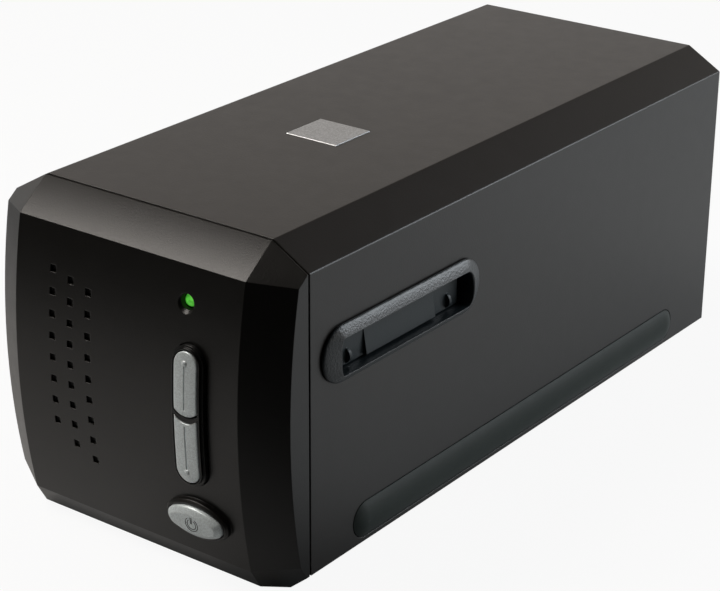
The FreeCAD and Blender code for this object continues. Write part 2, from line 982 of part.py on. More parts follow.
def cover_pilot(x, y):
    """Blind screw hole in a cover boss."""
    return bar(screw_radius, Vector(x, y, base_top_z - overrun), Vector(x, y, base_top_z + screw_length))


def rear_boss(x, z):
    """A boss for a rear panel screw, tied to the side wall."""
    side = math.copysign(1, x)
    front = panel_y - rear_boss_length
    post = bar(boss_radius, Vector(x, front, z), Vector(x, panel_y, z))
    wall_x = side * (half_width - wall / 2)
    web = block(min(x, wall_x), front, z - rib_thickness / 2, max(x, wall_x), panel_y, z + rib_thickness / 2)
    return post.fuse(web)


def emblem_block(margin, rise):
    """The emblem plate's place in the top."""
    y = seam_y + emblem_from_seam
    half_x = emblem_width / 2 + margin
    half_y = emblem_length / 2 + margin
    return block(-half_x, y - half_y, top_z - emblem_recess, half_x, y + half_y, top_z + rise)


def make_emblem_plate():
    """Plain metal plate let into the top."""
    plate = emblem_block(0, emblem_thickness - emblem_recess)
    top_edges = [edge for edge in plate.Edges if edge.BoundBox.ZMin > top_z]
    return plate.makeChamfer(emblem_chamfer, top_edges)


def make_base_tray():
    """Moulded base: sole with cut-back edges, rims and stand-offs."""
    sole_x = half_width - lower_chamfer_across
    edge_x = half_width - 2 * base_edge_gap
    rim_x = inner_half - fit_gap
    rim_z = cover_z + base_rim_height
    shoulder_z = cover_z - base_edge_gap
    right = [
        (sole_x, base_z),
        (edge_x, shoulder_z),
        (rim_x, shoulder_z),
        (rim_x, rim_z),
        (rim_x - base_rim_thickness, rim_z),
        (rim_x - base_rim_thickness, base_top_z),
    ]
    outline = right + [(-x, z) for x, z in reversed(right)]
    body = slab(front_point, outline, seam_y + base_end_gap, rear_y - base_end_gap)
    posts = [bar(standoff_radius, Vector(x, y, base_top_z), Vector(x, y, chassis_z))
             for x, y in chassis_screw_places()]
    rear_rim_y = panel_y - fit_gap
    rear_rim = block(-rim_x, rear_rim_y - base_rim_thickness, base_top_z, rim_x, rear_rim_y, rim_z)
    body = joined([body, rear_rim] + posts)
    cuts = [block(-half_width, rear_rim_y, base_top_z, half_width, rear_y, rim_z + overrun),
            block(-half_width, seam_y - overrun, base_top_z, half_width, seam_y + tongue_length + fit_gap,
                  rim_z + overrun)]
    for x, y in case_screw_places():
        cuts += base_boss_cuts(x, y, rim_z)
    for x, y in chassis_screw_places():
        low = deck_z - screw_length - screw_tip_gap
        cuts.append(bar(screw_radius, Vector(x, y, low), Vector(x, y, chassis_z + overrun)))
    for x, y in foot_places():
        below = Vector(x, y, base_z - overrun)
        cuts.append(bar(foot_radius + fit_gap, below, Vector(x, y, base_z + foot_seat_depth)))
    return body.cut(cuts)


def base_boss_cuts(x, y, rim_z):
    """Room for a cover boss, with the screw hole and head seat under it."""
    clear = boss_radius + fit_gap
    below = Vector(x, y, base_z - overrun)
    x0, x1 = sorted((x, math.copysign(half_width, x)))
    return [
        bar(clear, Vector(x, y, base_top_z), Vector(x, y, rim_z + overrun)),
        block(x0, y - clear, base_top_z, x1, y + clear, rim_z + overrun),
        bar(screw_radius + screw_hole_gap, below, Vector(x, y, rim_z)),
        bar(screw_head_radius + screw_hole_gap, below, Vector(x, y, base_z + screw_seat_depth)),
    ]


def chassis_screw_places():
    """Screw places that hold the chassis on the base."""
    ends = (chassis_front_y + chassis_screw_from_end, chassis_rear_y - chassis_screw_from_end)
    left = (rod_x + rod_block_half + bracket_x0 - bracket_leg_foot) / 2
    return [(x, y) for x in (left, drive_x - chassis_screw_from_drive) for y in ends]


def foot_places():
    """Centres of the four feet."""
    ends = (seam_y + foot_end_distance, rear_y - foot_end_distance)
    return [(side * foot_x, y) for side in (-1, 1) for y in ends]


def make_rubber_feet():
    """Four round rubber feet let into the base."""
    feet = []
    for x, y in foot_places():
        foot = bar(foot_radius, Vector(x, y, 0), Vector(x, y, base_z + foot_seat_depth))
        rim = [edge for edge in foot.Edges if edge.BoundBox.ZMax < overrun / 2 and len(edge.Vertexes) == 1]
        feet.append(foot.makeChamfer(foot_chamfer, rim))
    return Part.makeCompound(feet)


def make_rear_panel():
    """Rear panel with a shallow pocket for the two jacks."""
    outline = inset_polygon(case_outline(base_top_z + rear_gap - wall), wall + rear_gap)
    plate = slab(front_point, outline, panel_y, panel_y + rear_thickness)
    rear = panel_y + rear_thickness
    left = power_jack_x - power_jack_radius - jack_pocket_margin
    right = socket_x + socket_width / 2 + jack_pocket_margin
    reach = socket_tall / 2 + jack_pocket_margin
    pocket = slab(front_point, rectangle(left, jack_z - reach, right, jack_z + reach),
                  rear - jack_pocket_depth, rear + overrun)
    half_x = socket_width / 2 + fit_gap
    half_z = socket_tall / 2 + fit_gap
    window = rectangle(socket_x - half_x, jack_z - half_z, socket_x + half_x, jack_z + half_z)
    barrel = bar(power_jack_radius + fit_gap, Vector(power_jack_x, panel_y - overrun, jack_z),
                 Vector(power_jack_x, rear + overrun, jack_z))
    cuts = [pocket, slab(front_point, window, panel_y - overrun, rear + overrun), barrel]
    for x, z in rear_screw_places():
        behind = Vector(x, rear + overrun, z)
        cuts.append(bar(screw_radius + screw_hole_gap, Vector(x, panel_y - overrun, z), behind))
        cuts.append(bar(screw_head_radius + screw_hole_gap, Vector(x, rear - screw_seat_depth, z), behind))
    return plate.cut(cuts)


def make_slot_surround():
    """Raised oval surround of the right film slot, with its tunnel and hooks."""
    foot_wire = slot_ring(slot_rim_margins, 0)
    shoulder_wire = slot_ring(slot_shoulder_margins, slot_shoulder_proud)
    crest_wire = slot_ring(slot_crest_margins, slot_rim_proud)
    rim = Part.makeLoft([foot_wire, shoulder_wire], True, True)
    rim = rim.fuse(Part.makeLoft([shoulder_wire, crest_wire], True, True))
    inner_x = half_width - slot_tunnel_depth
    tunnel = slab(side_point, slot_outline(slot_tunnel_wall), inner_x, half_width + overrun / 2)
    hooks = []
    for along in (-1, 1):
        for up in (-1, 1):
            hooks.append(slot_hook(along, up))
    body = joined([rim, tunnel] + hooks)
    opening = slab(side_point, slot_outline(0), inner_x - overrun, half_width + slot_rim_proud + overrun)
    pin_half = slot_length / 2 + slot_bulge + slot_tunnel_wall + overrun
    return body.cut([opening, hinge_bar(flap_pin_radius, pin_half)])


def slot_ring(margins, proud):
    """Wire of a slot outline grown by a margin each way, at a height over the wall."""
    outline = stadium(slot_y, slot_z, slot_length + 2 * margins[0], slot_tall + 2 * margins[1])
    return face(side_point, half_width + proud, outline).OuterWire


def slot_hook(along, up):
    """A wedge on the tunnel that snaps behind the cover's wall."""
    behind = inner_half - fit_gap / 2
    root_z = slot_z + up * (slot_tall / 2 + slot_tunnel_wall / 2)
    tip_z = slot_z + up * (slot_tall / 2 + slot_tunnel_wall + slot_hook_reach)
    outline = [(behind, root_z), (behind, tip_z), (behind - slot_hook_height, root_z)]
    middle = slot_y + along * slot_length / 3
    return slab(front_point, outline, middle - slot_hook_length / 2, middle + slot_hook_length / 2)


def flap_pin_half():
    """Half the length of a flap's hinge pin."""
    rise = (hinge_z - slot_z) / (slot_tall / 2)
    return slot_length / 2 + slot_bulge * (1 - rise ** 2) + slot_tunnel_wall


def hinge_bar(radius, half):
    """A round bar on the right flap's hinge line, of given half length."""
    return bar(radius, Vector(hinge_x, slot_y - half, hinge_z), Vector(hinge_x, slot_y + half, hinge_z))


def make_flap_pin():
    """Steel hinge pin of the right dust flap."""
    return hinge_bar(flap_pin_radius, flap_pin_half())


def make_dust_flap():
    """Right dust flap: plate, hinge barrel, wedge pad and two fins."""
    half = slot_length / 2 - flap_gap
    outer = hinge_x + flap_thickness / 2
    low = slot_floor_z + flap_gap
    plate = block(hinge_x - flap_thickness / 2, slot_y - half, low, outer, slot_y + half, hinge_z)
    barrel = hinge_bar(flap_barrel_radius, half)
    pad_low = low + flap_gap
    root = outer - flap_thickness / 2
    pad_top = slot_z + flap_pad_top
    wedge = [(root, pad_low), (outer + flap_pad_proud, pad_low), (outer, pad_top), (root, pad_top)]
    pad = slab(front_point, wedge, slot_y - flap_pad_length / 2, slot_y + flap_pad_length / 2)
    fins = []
    for along in (-1, 1):
        y = slot_y + along * half * flap_fin_x_share
        middle = pad_low + flap_fin_tall / 2
        crescent = [(root, pad_low), (outer, pad_low, outer + flap_fin_proud, middle),
                    (outer, pad_low + flap_fin_tall), (root, pad_low + flap_fin_tall)]
        fins.append(slab(front_point, crescent, y - flap_fin_thickness / 2, y + flap_fin_thickness / 2))
    body = joined([plate, barrel, pad] + fins)
    bore = hinge_bar(flap_pin_radius + flap_pin_gap, half + overrun)
    spring_y = slot_y + flap_spring_place
    reach = flap_barrel_radius + fit_gap
    notch = block(hinge_x - reach, spring_y - flap_gap, hinge_z - reach,
                  hinge_x + reach, spring_y + flap_spring_length + flap_gap, hinge_z + reach)
    return body.cut([bore, notch])


def make_flap_springs():
    """The torsion springs of both flaps."""
    spring = flap_spring()
    return Part.makeCompound([spring, mirrored(spring)])


def flap_spring():
    """Right flap's torsion spring: a close-wound sleeve with a leg."""
    y = slot_y + flap_spring_place
    start = Vector(hinge_x, y, hinge_z)
    bore = hinge_bar(flap_pin_radius + flap_spring_gap, slot_length / 2)
    sleeve = bar(flap_spring_outer, start, Vector(hinge_x, y + flap_spring_length, hinge_z)).cut(bore)
    wire = flap_spring_wire
    inner = hinge_x - flap_spring_outer
    leg = block(inner - flap_spring_leg, y, hinge_z + flap_spring_outer - wire, hinge_x, y + wire,
                hinge_z + flap_spring_outer)
    return joined([sleeve, leg.cut(bore)])


def make_rubber_strip():
    """Right rubber strip: a long domed bar with rounded ends in its seat."""
    y = strip_y
    z = cover_z + strip_height
    half = strip_tall / 2
    run = strip_length / 2 - half
    base_x = half_width - strip_seat_depth
    crown_x = half_width + strip_proud
    dome = (half ** 2 + strip_proud ** 2) / (2 * strip_proud)
    mid_x = crown_x - dome + math.sqrt(dome ** 2 - (half / 2) ** 2)
    section = [(base_x, z - half), (half_width, z - half, crown_x, z), (half_width, z + half),
               (base_x, z + half)]
    middle = slab(front_point, section, y - run, y + run)
    end_section = [(base_x, z), (crown_x, z, mid_x, z + half / 2), (half_width, z + half), (base_x, z + half)]
    ends = []
    for side in (-1, 1):
        profile = face(front_point, y + side * run, end_section)
        ends.append(profile.revolve(Vector(base_x, y + side * run, z), ACROSS, 360))
    return joined([middle] + ends)


def make_button_surround():
    """Raised black surround of the two scan keys, held by a flange behind the bezel."""
    back = wall + surround_back
    body = curved_slab(surround_outline(0), back, surround_shoulder)
    crest = curved_slab(surround_outline(-surround_bevel), back, surround_proud)
    flange = curved_slab(surround_outline(surround_flange), back, -wall)
    body = joined([body, crest, flange])
    holes = [curved_slab(upper_key_outline(key_gap), front_depth, front_depth),
             curved_slab(lower_key_outline(key_gap), front_depth, front_depth)]
    return body.cut(holes)


def scan_key(outline, grown, bump_z, stem_z, groove_low, groove_high):
    """A metal-finished key with a bump, a fine groove, a flange and a stem."""
    back = wall + key_back
    body = curved_slab(outline, back, key_proud)
    flange = curved_slab(grown, back, key_flange_thickness - back)
    stem = bar(key_stem_radius, Vector(keys_x, front_face_y(stem_z) + back - key_flange_thickness, stem_z),
               Vector(keys_x, plunger_tip_y(), stem_z))
    surface = front_face_y(bump_z) - key_proud
    bump = Part.makeCone(key_bump_radius, key_bump_top_radius, key_bump_root + key_bump_proud,
                         Vector(keys_x, surface + key_bump_root, bump_z), BACK * -1)
    half = key_groove_width / 2
    groove = curved_slab(rectangle(keys_x - half, groove_low, keys_x + half, groove_high),
                         key_groove_depth - key_proud, front_depth / 2)
    return joined([body.cut(groove), flange, stem, bump])


def plunger_tip_y():
    """Depth of the plungers' free ends."""
    return switch_front_y() - plunger_reach


def switch_front_y():
    """Front of the tact switches."""
    return button_board_y - switch_height


def scan_switch_heights():
    """Switch heights behind the upper and the lower scan key."""
    quarter = keys_length / 4
    middle = cover_z + keys_middle_height
    return (middle + quarter, middle - quarter)


def make_scan_key_upper():
    """Upper scan key."""
    top = cover_z + keys_middle_height + keys_length / 2
    bump_z = top - key_bump_inset
    low = cover_z + key_split_height - overrun
    return scan_key(upper_key_outline(0), upper_key_outline(key_flange), bump_z, scan_switch_heights()[0],
                    low, bump_z - 2 * key_bump_radius)


def make_scan_key_lower():
    """Lower scan key."""
    low = cover_z + keys_middle_height - keys_length / 2
    bump_z = low + key_bump_inset
    high = cover_z + key_split_height + overrun
    return scan_key(lower_key_outline(0), lower_key_outline(key_flange), bump_z, scan_switch_heights()[1],
                    bump_z + 2 * key_bump_radius, high)


def make_power_button():
    """Oval metal-finished power button with a bevelled face, engraved mark and stem."""
    flange_top = -wall - power_rest_gap
    back = flange_top - power_flange_thickness
    body = oval_slab(power_width, power_tall, back, power_proud)
    body = bevel_top(body, power_proud, power_bevel_rise, power_bevel)
    flange = oval_slab(power_width + 2 * power_flange, power_tall + 2 * power_flange, back, flange_top)
    body = joined([body, flange])
    outer = power_mark_radius + power_mark_width / 2
    inner = power_mark_radius - power_mark_width / 2
    level = power_proud - power_mark_depth
    floor = Vector(0, 0, level)
    ring = Part.makeCylinder(outer, overrun, floor).cut(Part.makeCylinder(inner, overrun, floor))
    half = power_mark_width / 2
    top = level + overrun
    ring = ring.cut(block(-power_mark_opening, 0, level, power_mark_opening, 2 * outer, top))
    line = block(-half, outer - power_mark_bar, level, half, outer, top)
    body = body.cut([ring, line])
    body.Placement = power_frame()
    z = cover_z + power_height
    start = front_face_y(z) - back - power_flange_thickness
    stem = bar(key_stem_radius, Vector(power_x, start, z), Vector(power_x, plunger_tip_y(), z))
    return joined([body, stem])


def switch_places():
    """Centres of the three tact switches."""
    upper, lower = scan_switch_heights()
    return [(keys_x, upper), (keys_x, lower), (power_x, cover_z + power_height)]


def make_tact_switches():
    """Three tact switch bodies on the button board."""
    bodies = []
    half = switch_size / 2
    front = switch_front_y()
    travels = (scan_key_travel, scan_key_travel, power_travel)
    for (x, z), travel in zip(switch_places(), travels):
        body = block(x - half, front, z - half, x + half, button_board_y, z + half)
        floor_y = front + plunger_seat + travel + fit_gap
        bodies.append(body.cut(bar(plunger_radius + plunger_bore_gap, Vector(x, front - overrun, z),
                                   Vector(x, floor_y, z))))
    return Part.makeCompound(bodies)


def switch_plunger(index):
    """Plunger of one tact switch."""
    x, z = switch_places()[index]
    return bar(plunger_radius, Vector(x, plunger_tip_y(), z), Vector(x, switch_front_y() + plunger_seat, z))


def make_upper_key_plunger():
    """Plunger behind the upper scan key."""
    return switch_plunger(0)


def make_lower_key_plunger():
    """Plunger behind the lower scan key."""
    return switch_plunger(1)


def make_power_plunger():
    """Plunger behind the power button."""
    return switch_plunger(2)


def make_button_board():
    """Circuit board behind the front."""
    board = block(button_board_x0, button_board_y, button_board_low_z,
                  button_board_x1, button_board_back_y, button_board_top_z)
    front = button_board_y - overrun
    back = button_board_back_y + overrun
    holes = [bar(screw_radius + screw_hole_gap, Vector(x, front, z), Vector(x, back, z))
             for x, z in bezel_boss_places()]
    lamp_z = cover_z + lamp_height
    for side in (-1, 1):
        x = lamp_x + side * lamp_lead_pitch / 2
        holes.append(bar(lamp_lead_radius, Vector(x, front, lamp_z), Vector(x, back, lamp_z)))
    return board.cut(holes)


def make_status_lamp():
    """Round domed lamp with its collar and two leads."""
    z = cover_z + lamp_height
    front = front_face_y(z) + lamp_recess
    collar_y = button_board_y - lamp_collar_thickness
    profile = [(lamp_x + lamp_radius * u, front + lamp_radius * (1 - v)) for u, v in lamp_dome_shares]
    profile.append((lamp_x, front + lamp_radius))
    dome = face(plan_point, z, profile).revolve(Vector(lamp_x, front, z), BACK, 360)
    body = bar(lamp_radius, Vector(lamp_x, front + lamp_radius, z), Vector(lamp_x, collar_y, z))
    collar = bar(lamp_collar_radius, Vector(lamp_x, collar_y, z), Vector(lamp_x, button_board_y, z))
    leads = []
    tip_y = button_board_back_y + overrun / 2
    for side in (-1, 1):
        x = lamp_x + side * lamp_lead_pitch / 2
        leads.append(bar(lamp_lead_radius, Vector(x, collar_y, z), Vector(x, tip_y, z)))
    return joined([dome, body, collar] + leads)


def make_chassis():
    """Moulded chassis: deck, gate posts, rod blocks, rail ledge and board wall."""
    rear = chassis_rear_y
    pieces = [block(-chassis_half_width, chassis_front_y, chassis_z, chassis_half_width, rear, deck_z)]
    for x, y in gate_post_places():
        pieces.append(block(x - post_half_width, y - post_half_depth, chassis_z,
                            x + post_half_width, y + post_half_depth, gate_low_z))
    for y in rod_block_places():
        end = y + rod_block_length
        pieces.append(block(rod_x - rod_block_outer, y, chassis_z, rod_x + rod_block_half, end, rod_z))
    pieces.append(block(rail_x - rail_half_width, rail_front_y, chassis_z,
                        rail_x + rail_half_width, rail_rear_y, rail_z - rail_thickness))
    pieces.append(block(-chassis_half_width, rear - rear_wall_thickness, chassis_z,
                        chassis_half_width, rear, deck_z + rear_wall_height))
    idler_base = pulley_z - fit_gap
    pieces.append(bar(boss_radius, Vector(drive_x, idler_y, chassis_z), Vector(drive_x, idler_y, idler_base)))
    for x, z in main_board_screw_places():
        pieces.append(bar(wall_boss_radius, Vector(x, rear - wall_boss_length, z), Vector(x, rear, z)))
    for x, y in bracket_screw_places():
        pieces.append(bar(wall_boss_radius, Vector(x, y, base_top_z + fit_gap), Vector(x, y, deck_z)))
    return joined(pieces).cut(chassis_holes(rear, idler_base))


def chassis_holes(rear, idler_base):
    """Rod grooves, screw holes and boss notches of the chassis."""
    cuts = []
    for y in rod_block_places():
        end = y + rod_block_length + overrun
        cuts.append(bar(rod_radius, Vector(rod_x, y - overrun, rod_z), Vector(rod_x, end, rod_z)))
        x = rod_x - clamp_screw_offset
        middle = y + rod_block_length / 2
        cuts.append(pilot_down(x, middle, rod_z + clamp_thickness))
    for x, y in gate_post_places():
        cuts.append(pilot_down(x, y, gate_low_z + gate_floor))
    for x, y in bracket_screw_places():
        cuts.append(pilot_down(x, y, deck_z + bracket_thickness))
    for x, y in chassis_screw_places():
        above = Vector(x, y, deck_z + overrun)
        cuts.append(bar(screw_radius + screw_hole_gap, Vector(x, y, chassis_z - overrun), above))
    cuts.append(bar(axle_radius, Vector(drive_x, idler_y, idler_base - screw_length),
                    Vector(drive_x, idler_y, idler_base + overrun)))
    for x, z in main_board_screw_places():
        tip_y = rear + board_thickness - screw_length - screw_tip_gap
        cuts.append(bar(screw_radius, Vector(x, tip_y, z), Vector(x, rear + overrun, z)))
    clear = boss_radius + boss_notch_gap
    for x, y in case_screw_places():
        x0, x1 = sorted((x, math.copysign(half_width, x)))
        cuts.append(bar(clear, Vector(x, y, chassis_z - overrun), Vector(x, y, deck_z + overrun)))
        cuts.append(block(x0, y - clear, chassis_z - overrun, x1, y + clear, deck_z + overrun))
    return cuts


def pilot_down(x, y, seat_z):
    """Blind hole under a screw whose head sits at the given height."""
    bottom = Vector(x, y, seat_z - screw_length - screw_tip_gap)
    return bar(screw_radius, bottom, Vector(x, y, seat_z + overrun))


def bracket_screw_places():
    """Screw places of the motor bracket's foot."""
    x = bracket_x0 - bracket_leg_foot / 2
    return [(x, drive_y - bracket_screw_y), (x, drive_y + bracket_screw_y)]


def gate_post_places():
    """Centres of the four posts that carry the film gate."""
    return [(side * post_x, slot_y + end * post_from_slot) for side in (-1, 1) for end in (-1, 1)]


def rod_block_places():
    """Front faces of the two rod blocks."""
    return (rod_front_y, rod_rear_y - rod_block_length)


def main_board_screw_places():
    """Screw places of the main board."""
    x = main_board_half - 2 * screw_head_radius
    return [(side * x, deck_z + rear_wall_height / 2) for side in (-1, 1)]


def make_film_gate_lower():
    """Lower gate: channel floor with side walls, light window, ears and detent shelf."""
    half_y = slot_length / 2 + fit_gap
    outer_y = half_y + gate_side
    body = block(-gate_half_length, slot_y - outer_y, gate_low_z,
                 gate_half_length, slot_y + outer_y, slot_ceiling_z)
    body = body.cut(block(-gate_half_length - overrun, slot_y - half_y, slot_floor_z,
                          gate_half_length + overrun, slot_y + half_y, slot_ceiling_z + overrun))
    body = joined([body, detent_shelf()] + [gate_ear(x, y) for x, y in gate_post_places()])
    cuts = [gate_window(), detent_window()]
    for x, y in gate_post_places():
        cuts.append(bar(screw_radius + screw_hole_gap, Vector(x, y, gate_low_z - overrun),
                        Vector(x, y, gate_low_z + gate_floor + overrun)))
    return body.cut(cuts)


def gate_ear(x, y):
    """Ear of the lower gate over one post, tied to the channel's side."""
    inner_x = math.copysign(gate_half_length - gate_ear_width, x)
    x0, x1 = sorted((inner_x, x + math.copysign(post_half_width, x)))
    ear = block(x0, y - post_half_depth, gate_low_z, x1, y + post_half_depth, gate_low_z + gate_floor)
    x0, x1 = sorted((inner_x, math.copysign(gate_half_length, x)))
    y0, y1 = sorted((slot_y + math.copysign(slot_length / 2, y - slot_y), y))
    return ear.fuse(block(x0, y0, gate_low_z, x1, y1, gate_low_z + gate_floor))


def gate_front_y():
    """Outer face of the gate's front wall."""
    return slot_y - slot_length / 2 - fit_gap - gate_side


def detent_shelf():
    """Shelf on the gate's front wall with the detent lever's pivot pin."""
    pivot = detent_pivot()
    reach = detent_knuckle
    shelf = block(pivot.x - reach, pivot.y - reach, gate_low_z,
                  pivot.x + reach, gate_front_y() + gate_side / 2, gate_low_z + gate_floor)
    collar_top = slot_z - detent_arm_tall / 2 - detent_play
    collar = bar(detent_knuckle, Vector(pivot.x, pivot.y, gate_low_z), Vector(pivot.x, pivot.y, collar_top))
    pin_top = slot_z + detent_arm_tall / 2 + detent_play + detent_spring_tall
    pin = bar(detent_pivot_radius, Vector(pivot.x, pivot.y, gate_low_z), Vector(pivot.x, pivot.y, pin_top))
    return joined([shelf, collar, pin])


def gate_window():
    """Light window through both gates."""
    return block(-gate_window_half_x, slot_y - gate_window_half_y, gate_low_z - overrun,
                 gate_window_half_x, slot_y + gate_window_half_y, gate_top_z + overrun)


def make_film_gate_upper():
    """Upper gate: the channel's lid with its light window."""
    outer_y = slot_length / 2 + fit_gap + gate_side
    lid = block(-gate_half_length, slot_y - outer_y, slot_ceiling_z,
                gate_half_length, slot_y + outer_y, gate_top_z)
    return lid.cut(gate_window())


def detent_pivot():
    """Place of the detent lever's pivot."""
    return Vector(detent_arm_length, gate_front_y() - detent_wall_gap - detent_knuckle, slot_z)


def detent_roller_centre():
    """Place of the detent roller's axis."""
    y = slot_y - slot_length / 2 - fit_gap + detent_reach - detent_roller_radius
    return Vector(0, y, slot_z)


def detent_window():
    """Opening in the gate's front wall for the detent roller and its fork."""
    half_x = detent_roller_radius + detent_slot_gap
    half_z = detent_arm_tall / 2 + detent_slot_gap
    return block(-half_x, gate_front_y() - overrun, slot_z - half_z,
                 half_x, gate_front_y() + gate_side + fit_gap + overrun, slot_z + half_z)


def make_guide_rod():
    """Ground steel rod that the carriage runs on."""
    return bar(rod_radius, Vector(rod_x, rod_front_y, rod_z), Vector(rod_x, rod_rear_y, rod_z))


def make_rod_clamps():
    """Two sheet clamps that hold the rod down in its blocks."""
    return Part.makeCompound([rod_clamp(y) for y in rod_block_places()])


def rod_clamp(y):
    """One clamp: an arch over the rod with a flat foot on each side."""
    outer = rod_radius + clamp_thickness
    end = y + rod_block_length
    arch = bar(outer, Vector(rod_x, y, rod_z), Vector(rod_x, end, rod_z))
    arch = arch.common(block(rod_x - outer, y, rod_z, rod_x + outer, end, rod_z + outer))
    feet = block(rod_x - rod_block_outer, y, rod_z, rod_x + rod_block_half, end, rod_z + clamp_thickness)
    rod = bar(rod_radius, Vector(rod_x, y - overrun, rod_z), Vector(rod_x, end + overrun, rod_z))
    x = rod_x - clamp_screw_offset
    middle = y + rod_block_length / 2
    below = Vector(x, middle, rod_z - overrun)
    hole = bar(screw_radius + screw_hole_gap, below, Vector(x, middle, rod_z + overrun))
    return joined([arch, feet]).cut([rod, hole])


def make_slide_rail():
    """Flat steel strip under the carriage's free side."""
    return block(rail_x - rail_half_width, rail_front_y, rail_z - rail_thickness,
                 rail_x + rail_half_width, rail_rear_y, rail_z)


def carriage_profile():
    """Side view of the carriage's trough, with its slope for the mirror."""
    low = carriage_z
    high = carriage_z + carriage_wall_height
    rise = carriage_wall_height / 2
    return [(carriage_front_y + rise, low), (carriage_rear_y, low), (carriage_rear_y, high),
            (carriage_front_y, high), (carriage_front_y, low + rise)]


def mirror_plane_y(z):
    """Depth of the mirror's face at a height."""
    return home_y - (z - optic_z)


def make_optics_carriage():
    """Cast carriage: trough, mirror slope, lens seat, spine, arm and rod bosses."""
    half = carriage_half_width
    trough_top = carriage_z + carriage_wall_height
    trough = slab(side_point, carriage_profile(), -half, half)
    slope_shift = mirror_thickness * math.sqrt(2)
    low = carriage_z + carriage_wall
    high = trough_top + overrun
    rear = carriage_rear_y - carriage_wall
    hollow = slab(side_point, [(mirror_plane_y(low) - slope_shift, low), (rear, low), (rear, high),
                               (mirror_plane_y(high) - slope_shift, high)],
                  -half + carriage_wall, half - carriage_wall)
    spine_top = arm_z + arm_thickness
    spine_end = spine_y + spine_thickness
    pieces = [trough.cut(hollow), block(-half, spine_y, carriage_z, half, spine_end, spine_top),
              block(-half, home_y - arm_reach, arm_z, half, spine_end, spine_top),
              block(-lens_seat_half, lens_y, carriage_z, lens_seat_half, lens_y + lens_seat_length, optic_z),
              carriage_lug()]
    rib_front = home_y + light_half_y + arm_rib_height
    for x in (-half, -carriage_wall / 2, half - carriage_wall):
        pieces.append(block(x, rib_front, arm_z - arm_rib_height, x + carriage_wall, spine_y, arm_z))
    for x in (-half, half - carriage_wall):
        gusset = [(spine_end, trough_top), (spine_end + gusset_reach, trough_top),
                  (spine_end, trough_top + gusset_rise)]
        pieces.append(slab(side_point, gusset, x, x + carriage_wall))
    pieces += [rod_boss(y) for y in bushing_places_y]
    return joined(pieces).cut(carriage_holes(rear))


def carriage_lug():
    """Lug on the carriage's free side, over the slide rail."""
    low = rail_z + skid_gap + skid_thickness
    return block(carriage_half_width - carriage_wall / 2, skid_y, low,
                 rail_x + rail_half_width, skid_y + skid_length, low + lug_thickness)


def carriage_holes(rear):
    """Light window, lens seat, bushing bores and sensor opening of the carriage."""
    cuts = [block(-spine_window_half, spine_y - overrun, carriage_z + spine_window_low,
                  spine_window_half, spine_y + spine_thickness + overrun, carriage_z + spine_window_high),
            bar(lens_radius, Vector(0, lens_y - overrun, optic_z),
                Vector(0, lens_y + lens_seat_length + overrun, optic_z))]
    for y in bushing_places_y:
        cuts.append(bar(bushing_radius, Vector(rod_x, y - overrun, rod_z),
                        Vector(rod_x, y + bushing_length + overrun, rod_z)))
    sensor_half = sensor_half_width + fit_gap
    sensor_tall_half = sensor_tall / 2 + fit_gap
    cuts.append(block(-sensor_half, rear - overrun, optic_z - sensor_tall_half,
                      sensor_half, carriage_rear_y + overrun, optic_z + sensor_tall_half))
    return cuts


def rod_boss(y):
    """A bushing housing on the carriage's side, with its web."""
    radius = bushing_radius + bushing_housing
    tube = bar(radius, Vector(rod_x, y, rod_z), Vector(rod_x, y + bushing_length, rod_z))
    inner_x = -carriage_half_width + carriage_wall / 2
    web = block(rod_x, y, rod_z - radius / 2, inner_x, y + bushing_length, rod_z + radius / 2)
    return tube.fuse(web)


def make_carriage_bushings():
    """Two bronze bushings around the guide rod."""
    bushings = []
    for y in bushing_places_y:
        sleeve = bar(bushing_radius, Vector(rod_x, y, rod_z), Vector(rod_x, y + bushing_length, rod_z))
        bushings.append(sleeve.cut(bar(rod_radius + bushing_bore_gap, Vector(rod_x, y - overrun, rod_z),
                                       Vector(rod_x, y + bushing_length + overrun, rod_z))))
    return Part.makeCompound(bushings)


def make_carriage_skid():
    """Plastic skid that glides on the slide rail."""
    low = rail_z + skid_gap
    return block(rail_x - rail_half_width, skid_y, low,
                 rail_x + rail_half_width, skid_y + skid_length, low + skid_thickness)


def make_scan_mirror():
    """Mirror on the 45 degree slope under the film."""
    half = mirror_half / math.sqrt(2)
    shift = mirror_thickness / math.sqrt(2)
    outline = [(home_y - half, optic_z + half), (home_y - half - shift, optic_z + half - shift),
               (home_y + half - shift, optic_z - half - shift), (home_y + half, optic_z - half)]
    return slab(side_point, outline, -mirror_width / 2, mirror_width / 2)


def make_lens_barrel():
    """Stepped lens barrel on the optical axis."""
    end = lens_y + lens_length
    profile = [
        (lens_bore, lens_y),
        (lens_radius, lens_y),
        (lens_radius, end - lens_step_length),
        (lens_step_radius, end - lens_step_length),
        (lens_step_radius, end),
        (lens_bore, end),
    ]
    section = face(plan_point, optic_z, profile)
    return section.revolve(Vector(0, lens_y, optic_z), BACK, 360)


def make_lens_glass():
    """Front and rear lens elements, each with a bevelled front face."""
    radius = lens_bore
    inset = lens_glass_inset
    elements = []
    for y in (lens_y + inset, lens_y + lens_length - inset - lens_glass_thickness):
        end = y + lens_glass_thickness
        profile = [(0, y), (radius * lens_flat_share, y), (radius, y + lens_glass_edge), (radius, end),
                   (0, end)]
        section = face(plan_point, optic_z, profile)
        elements.append(section.revolve(Vector(0, y, optic_z), BACK, 360))
    return Part.makeCompound(elements)


